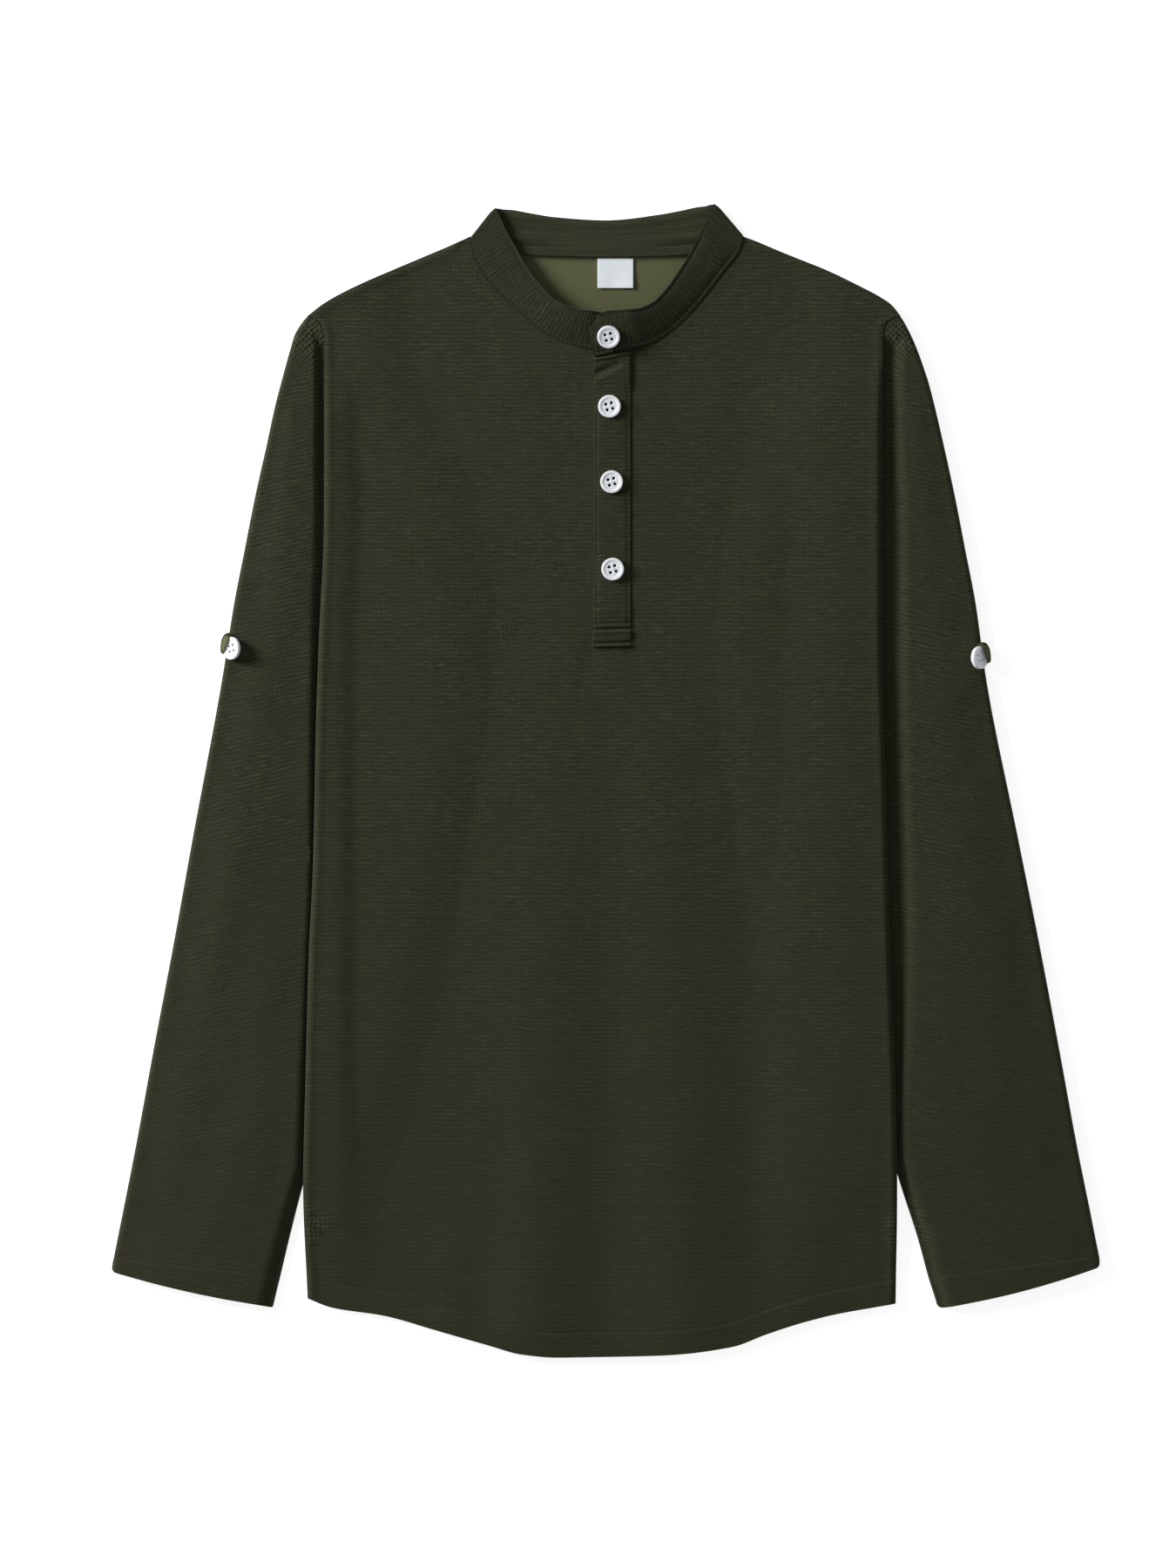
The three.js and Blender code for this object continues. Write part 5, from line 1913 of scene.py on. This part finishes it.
@dataclass
class Stitching:
    """Rows of stitches, all copies of one stitch that is modelled once."""

    thread: Material
    length: float = 2.3
    pitch: float = 3.1
    width: float = 0.34
    height: float = 0.22
    sink: float = 0.09

    def __post_init__(self) -> None:
        """Model the one stitch: a short thread, thin and sunk at its ends."""
        bpy.ops.object.select_all(action="DESELECT")
        lying = (0, math.pi / 2, 0)
        bpy.ops.mesh.primitive_cylinder_add(vertices=6, radius=0.5, depth=1, rotation=lying)
        stitch = bpy.context.active_object
        bpy.ops.object.transform_apply(location=False, rotation=True, scale=False)
        bpy.ops.object.mode_set(mode="EDIT")
        for cut in (-0.3, 0.0, 0.3):
            bpy.ops.mesh.select_all(action="SELECT")
            bpy.ops.mesh.bisect(plane_co=(cut, 0, 0), plane_no=(1, 0, 0))
        bpy.ops.object.mode_set(mode="OBJECT")
        self.points = np.array([v.co for v in stitch.data.vertices])
        self.faces = [tuple(p.vertices) for p in stitch.data.polygons]
        end = (2 * np.abs(self.points[:, 0])) ** 3
        self.points[:, 1:] *= (1 - 0.45 * end)[:, None]
        self.points[:, 2] -= 0.9 * end
        bpy.data.objects.remove(stitch, do_unlink=True)

    def sew(self, name: str, spans: Sequence[tuple[Array, Array]]) -> Piece:
        """Sew stitches.

        Args:
            name: the piece's name.
            spans: where each stitch starts and ends, in millimetres.

        Returns:
            The finished piece, not yet placed.
        """
        points, faces = [], []
        for start, end in spans:
            along = end - start
            reach = float(norm(along))
            along /= reach
            across = np.cross([0.0, 0.0, 1.0], along)
            across /= norm(across)
            up = np.cross(along, across)
            first = len(points) * len(self.points)
            middle = (start + end) / 2 + up * (self.height / 2 - self.sink)
            scaled = self.points * [reach, self.width, self.height]
            points.append(middle + scaled @ np.stack([along, across, up]))
            faces += [tuple(first + k for k in face) for face in self.faces]
        mesh = bpy.data.meshes.new(name)
        mesh.from_pydata((np.concatenate(points) * MM).tolist(), [], faces)
        mesh.materials.append(self.thread)
        piece = new_object(name, mesh)
        shade_by_angle(piece, 60)
        return piece

    def sew_rows(self, rows: dict[str, Sequence[Array]]) -> None:
        """Sew and place the rows of stitches that show.

        Args:
            rows: the lines of each piece, by its name.
        """
        for name, lines in rows.items():
            spans = [span for line in lines for span in self.spans(line)]
            place(self.sew(name, spans), "waffle_knit")

    def spans(self, line: Array) -> list[tuple[Array, Array]]:
        """Share a line out into stitches.

        Args:
            line: its points.

        Returns:
            Where each stitch starts and ends.
        """
        far = run_lengths(line)
        count = int((far[-1] - self.length) // self.pitch) + 1
        at = lambda s: np.array([np.interp(s, far, line[:, axis]) for axis in range(3)])
        first = (far[-1] - (count - 1) * self.pitch - self.length) / 2
        starts = first + np.arange(count) * self.pitch
        return [(at(s), at(s + self.length)) for s in starts]


# ---- buttons and tabs ----


class TabPlace(NamedTuple):
    """Where a roll-up tab rounds its sleeve's outer fold, and where its button lies."""

    fold_x: float
    y: float
    button_x: float
    button_y: float


SLEEVE_BUTTON_Z = 8.6
SLEEVE_BUTTON_TILT = math.radians(43)
SLEEVE_TABS = {-1: TabPlace(-243.4, 87.0, -239.8, 85.2), 1: TabPlace(240.9, 82.0, 239.0, 79.2)}
PLACKET_BUTTONS = ((2.0, 240.7), (3.4, 192.2), (4.1, 136.1))
COLLAR_BUTTON = (1.4, 285.1)


@dataclass
class ButtonMaker:
    """Four-hole shirt buttons, all copies of one that is modelled once."""

    plastic: Material
    stitching: Stitching
    diameter: float = 14.5
    thickness: float = 2.4
    insets: tuple[Point, ...] = ((1.5, 0.0), (0.9, -0.55), (0.9, 0.08))
    softening: float = 0.28
    hole: float = 2.0
    hole_circle: float = 5.2
    turn: float = 59.0
    thread_level: float = 0.35

    def hole_centres(self) -> list[Array]:
        """Return the centres of the four holes."""
        angles = np.radians(self.turn + 90 * np.arange(4))
        return [np.array([math.cos(a), math.sin(a)]) * self.hole_circle / 2 for a in angles]

    def model(self) -> None:
        """Model the button with its rim, its dished middle and its holes."""
        bpy.ops.object.select_all(action="DESELECT")
        bpy.ops.mesh.primitive_cylinder_add(
            vertices=64,
            radius=self.diameter / 2 * MM,
            depth=self.thickness * MM,
            location=(0, 0, self.thickness / 2 * MM),
        )
        button = bpy.context.active_object
        bpy.ops.object.transform_apply(location=True, rotation=False, scale=False)
        bpy.ops.object.mode_set(mode="EDIT")
        bpy.ops.mesh.select_all(action="DESELECT")
        bpy.ops.object.mode_set(mode="OBJECT")
        for polygon in button.data.polygons:
            polygon.select = polygon.normal.z > 0.9
        bpy.ops.object.mode_set(mode="EDIT")
        bpy.ops.mesh.select_mode(type="FACE")
        for inset, depth in self.insets:
            bpy.ops.mesh.inset(thickness=inset * MM, depth=depth * MM)
        bpy.ops.object.mode_set(mode="OBJECT")
        drill = self.drill()
        cut = button.modifiers.new("holes", "BOOLEAN")
        cut.object = drill
        cut.operation = "DIFFERENCE"
        cut.solver = "EXACT"
        soften = button.modifiers.new("soften", "BEVEL")
        soften.width = self.softening * MM
        soften.segments = 3
        soften.limit_method = "ANGLE"
        soften.angle_limit = math.radians(28)
        apply_modifiers(button)
        bpy.data.objects.remove(drill, do_unlink=True)
        shade_by_angle(button, 40)
        mesh = button.data
        for layer in list(mesh.uv_layers):
            mesh.uv_layers.remove(layer)
        turned = mesh.uv_layers.new(name="Turned").data
        for loop in mesh.loops:
            turned[loop.index].uv = mesh.vertices[loop.vertex_index].co.xy
        mesh.materials.clear()
        mesh.materials.append(self.plastic)
        self.shape = mesh.copy()
        bpy.data.objects.remove(button, do_unlink=True)

    def drill(self) -> Piece:
        """Make the tool that cuts the four holes.

        Returns:
            The tool.
        """
        tools = []
        for centre in self.hole_centres():
            bpy.ops.mesh.primitive_cylinder_add(
                vertices=20,
                radius=self.hole / 2 * MM,
                depth=3 * self.thickness * MM,
                location=(centre[0] * MM, centre[1] * MM, self.thickness / 2 * MM),
            )
            tools.append(bpy.context.active_object)
        activate(*tools)
        bpy.ops.object.join()
        return tools[0]

    def make(self, node: str, where: Sequence[float], pitch: float = 0.0, roll: float = 0.0) -> None:
        """Place a copy of the button, with the thread through its holes.

        Args:
            node: the CAD node that it stands for.
            where: the middle of its underside, in millimetres.
            pitch: turn about X, in radians.
            roll: turn about Y, in radians.
        """
        spot = Matrix.Translation(Vector(where) * MM)
        turned = spot @ Matrix.Rotation(roll, 4, "Y") @ Matrix.Rotation(pitch, 4, "X")
        mesh = self.shape.copy()
        mesh.transform(turned)
        place(new_object(f"{node}_shown", mesh), "button_plastic", node)
        holes = [np.array([*centre, self.thread_level]) for centre in self.hole_centres()]
        thread = self.stitching.sew(f"{node}_thread", [(holes[0], holes[1]), (holes[2], holes[3])])
        thread.data.transform(turned)
        place(thread, "button_plastic")


@dataclass
class SleeveTab:
    """The roll-up tab's end: a tongue round the fold, and its end cupped round the button's edge.

    The tongue's rows are its distance inboard of the fold, its height and half its width. The cup
    is worked out about the button's own middle, with angles from outboard (0) towards the collar.
    Its rows are the share of the turned-over end's widening, the distance beyond the button's
    edge, and the height.
    """

    side: int
    button: ButtonMaker
    finish: Finishes
    thickness: float = 0.7
    tongue: tuple[Triple, ...] = (
        (9.0, 7.2, 1.6),
        (7.4, 7.2, 3.2),
        (5.5, 7.0, 4.4),
        (3.4, 6.8, 5.0),
        (1.4, 6.5, 5.4),
        (-0.6, 6.0, 5.6),
        (-2.3, 5.1, 5.6),
        (-3.3, 3.9, 5.4),
        (-3.4, 2.6, 5.0),
        (-2.8, 1.4, 4.4),
    )
    cup: tuple[Triple, ...] = (
        (0.0, -2.2, -1.0),
        (0.0, -0.6, -1.0),
        (0.3, 0.3, -0.7),
        (0.8, 0.75, 0.2),
        (1.0, 0.8, 1.2),
        (1.0, 0.6, 2.4),
    )
    cup_span: Pair = (-44.0, 106.0)
    cup_top: float = 3.3
    overlap: float = 3.3
    margin: float = 1.9
    rim_width: float = 1.5
    cup_underside: float = -2.0
    patch_from: float = 1.9

    @property
    def node(self) -> str:
        """The CAD node that the tab stands for."""
        return "right_sleeve_tab" if self.side < 0 else "left_sleeve_tab"

    def tongue_face(self) -> Array:
        """Lay the tongue round the fold.

        Returns:
            Its face, in millimetres.
        """
        spot = SLEEVE_TABS[self.side]
        keys = np.arange(len(self.tongue), dtype=float)
        inboard, z, half = (
            Profile(keys, column)(spaced(keys, 0.25))[:, None] for column in zip(*self.tongue)
        )
        y = spot.y + half * np.linspace(-1, 1, 13)
        return np.stack(np.broadcast_arrays(spot.fold_x - self.side * inboard, y, z), axis=-1)

    def cup_face(self) -> Array:
        """Cup the tab's end round the button.

        Returns:
            Its face about the button's middle, in millimetres.
        """
        radius = self.button.diameter / 2
        first, last = self.cup_span
        degrees = np.linspace(first, last, 46)
        angles = np.radians(degrees)
        taper = smooth((degrees - first) / 30) * smooth((last - degrees) / 32)
        wide = self.widening(degrees)
        over = self.overlap * smooth((degrees + 38) / 40) * smooth((98 - degrees) / 44)
        profile = [
            [radius - 1 + (beyond + 1 + wide * share) * taper, (z + 1) * taper - 1]
            for share, beyond, z in self.cup
        ]
        outer = profile[-1][0]
        for share in (0.12, 0.25, 0.4, 0.55, 0.7, 0.85, 1.0):
            inward = (radius - over - outer) * share * taper - 0.3 * (1 - taper) * share
            profile.append([outer + inward, (self.cup_top - 0.4 * share + 1) * taper - 1])
        around = np.array(profile).transpose(0, 2, 1)
        x = self.side * around[..., 0] * np.cos(angles)
        y = around[..., 0] * np.sin(angles)
        return np.stack([x, y, around[..., 1]], axis=-1)

    def widening(self, degrees: Array) -> Array:
        """Return how much further the cup reaches where the tab's end is turned over."""
        return self.margin * bump(degrees - 64, 30)

    def build(self) -> None:
        """Build the tab: its right side underneath, its wrong side beside the button."""
        knit, inside = self.finish.knit, self.finish.inside
        tongue = Cloth(f"{self.node}_cloth", self.tongue_face(), self.thickness, rim=0.2)
        cup = Cloth("cup", self.cup_face(), self.thickness, rim=0.25, face_down=True)
        strip, lip = tongue.make(knit, knit), cup.make(knit, inside)
        spot = SLEEVE_TABS[self.side]
        at_button = Matrix.Translation(Vector((spot.button_x, spot.button_y, SLEEVE_BUTTON_Z)) * MM)
        turned = at_button @ Matrix.Rotation(self.side * SLEEVE_BUTTON_TILT, 4, "Y")
        lip.data.transform(turned)
        activate(strip, lip)
        bpy.ops.object.join()
        tab = place(strip, "knit_wrong_side", self.node)
        self.show_wrong_side(tab.data, turned.inverted())

    def show_wrong_side(self, mesh: bpy.types.Mesh, to_button: Matrix) -> None:
        """Put the wrong side's finish on the faces between the rim and the button.

        Args:
            mesh: the tab's mesh.
            to_button: turns a place on the shirt into one on the button.
        """
        finishes = list(mesh.materials)
        outer, inner = (finishes.index(each) for each in (self.finish.knit, self.finish.inside))
        lip_beyond = self.cup[4][1]
        for polygon in mesh.polygons:
            x, y, z = (to_button @ polygon.center) / MM
            angle = math.degrees(math.atan2(y, x * self.side))
            rim = self.button.diameter / 2 + lip_beyond + float(self.widening(np.array(angle)))
            if z > self.cup_underside:
                within = z > self.patch_from and math.hypot(x, y) < rim - self.rim_width
                polygon.material_index = inner if within else outer


# ---- studio ----


@dataclass
class Studio:
    """A pale floor, a soft key light from the upper left, soft fill, and the camera above."""

    centre: Pair = (-0.01176, -0.00196)
    distance: float = 3.0
    shirt_height: float = 0.006
    frame_height: float = 1.008
    sensor: float = 36.0
    key_power: float = 190.0
    key_from: Triple = (-3.0, 1.45, 1.35)
    key_size: float = 1.3
    fill: float = 0.3
    floor_glow: float = 0.8

    def camera(self) -> None:
        """Put the camera straight above, with the collar up in the picture."""
        lens = bpy.data.cameras.new("camera")
        lens.sensor_fit = "VERTICAL"
        lens.sensor_height = self.sensor
        lens.lens = self.sensor * self.distance / self.frame_height
        lens.clip_end = 30.0
        holder = new_object("camera", lens)
        holder.location = (*self.centre, self.distance + self.shirt_height)
        bpy.context.scene.camera = holder

    def floor(self) -> None:
        """Lay the floor just under the shirt."""
        bpy.ops.object.select_all(action="DESELECT")
        bpy.ops.mesh.primitive_plane_add(size=9.0, location=(0, 0, -0.0004))
        floor = bpy.context.active_object
        floor.name = "floor"
        bench = MaterialBench("floor")
        level = bench.ramp(bench.noise(bench.place(), 3.0), 0.3, 0.7, 0.58, 0.6)
        white = bench.add("CombineXYZ", i0=level, i1=level, i2=level)
        made = bench.finish({
            "Base Color": white.outputs[0],
            "Roughness": 0.9,
            "Specular IOR Level": 0.1,
            "Emission Color": (1, 1, 1, 1),
            "Emission Strength": self.floor_glow,
        })
        floor.data.materials.append(made)

    def lights(self) -> None:
        """Hang the key light and set the fill."""
        key = bpy.data.lights.new("key", "AREA")
        key.shape = "DISK"
        key.size = self.key_size
        key.energy = self.key_power
        key.color = (1.0, 0.995, 0.98)
        holder = new_object("key", key)
        holder.location = self.key_from
        holder.rotation_euler = (-Vector(self.key_from)).to_track_quat("-Z", "Y").to_euler()
        world = bpy.data.worlds.new("studio")
        world.use_nodes = True
        sky = world.node_tree.nodes["Background"].inputs
        sky[0].default_value = (1, 1, 1, 1)
        sky[1].default_value = self.fill
        bpy.context.scene.world = world
        bpy.context.scene.view_settings.view_transform = "Standard"


# ---- the whole shirt ----


def build_buttons(collar: CollarBand, placket: Placket, finish: Finishes) -> None:
    """Place the six buttons, and the tabs under the two on the sleeves.

    Args:
        collar: the collar band, which carries the first button.
        placket: the placket, which carries the next three.
        finish: the finishes.
    """
    thread = Stitching(finish.thread, width=0.7, height=0.6, sink=0.0)
    maker = ButtonMaker(finish.plastic, thread)
    maker.model()
    slope = math.atan2(collar.centre_rise, collar.centre_edge_y - collar.centre_seam_y)
    x, y = COLLAR_BUTTON
    maker.make("collar_button", (x, y, collar.end_height(y) + 0.6), pitch=slope)
    for number, (x, y) in enumerate(PLACKET_BUTTONS, start=1):
        around = np.array([(0, 0), (0, -6), (0, 6), (-6, 0), (6, 0)]) + (x, y)
        top = float(placket.strip_face(*around.T).max())
        maker.make(f"placket_button_{number}", (x, y, top + 0.1))
    for side, name in ((-1, "right_sleeve_button"), (1, "left_sleeve_button")):
        tab = SLEEVE_TABS[side]
        where = (tab.button_x, tab.button_y, SLEEVE_BUTTON_Z)
        maker.make(name, where, roll=side * SLEEVE_BUTTON_TILT)
        SleeveTab(side, maker, finish).build()


def main() -> None:
    """Build the shirt in order, then the studio."""
    logging.basicConfig(level=logging.INFO, format="%(name)s: %(message)s")
    finish = Finishes()
    studio = Studio()
    studio.camera()
    body = LaidBody()
    collar = CollarBand(body, finish)
    panels = BodyPanels(body, collar, finish)
    panels.build_back()
    panels.build_front()
    sleeves = [Sleeve(side, body, finish, **SLEEVE_STYLES[side]) for side in SIDES]
    for sleeve in sleeves:
        sleeve.build()
    collar.build()
    placket = Placket(body, finish)
    placket.build_under()
    placket.build_top()
    NeckLabel(body, finish).build()
    build_buttons(collar, placket, finish)
    right, left = sleeves
    Stitching(finish.thread).sew_rows({
        "hem_stitching": [panels.hem_line()],
        "neck_stitching": panels.neck_lines(),
        "collar_stitching": collar.stitch_lines(),
        "placket_stitching": placket.stitch_lines(),
        "right_cuff_stitching": [right.cuff_line()],
        "left_cuff_stitching": [left.cuff_line()],
    })
    studio.floor()
    studio.lights()
    bpy.ops.object.select_all(action="DESELECT")


if __name__ == "__main__":
    main()
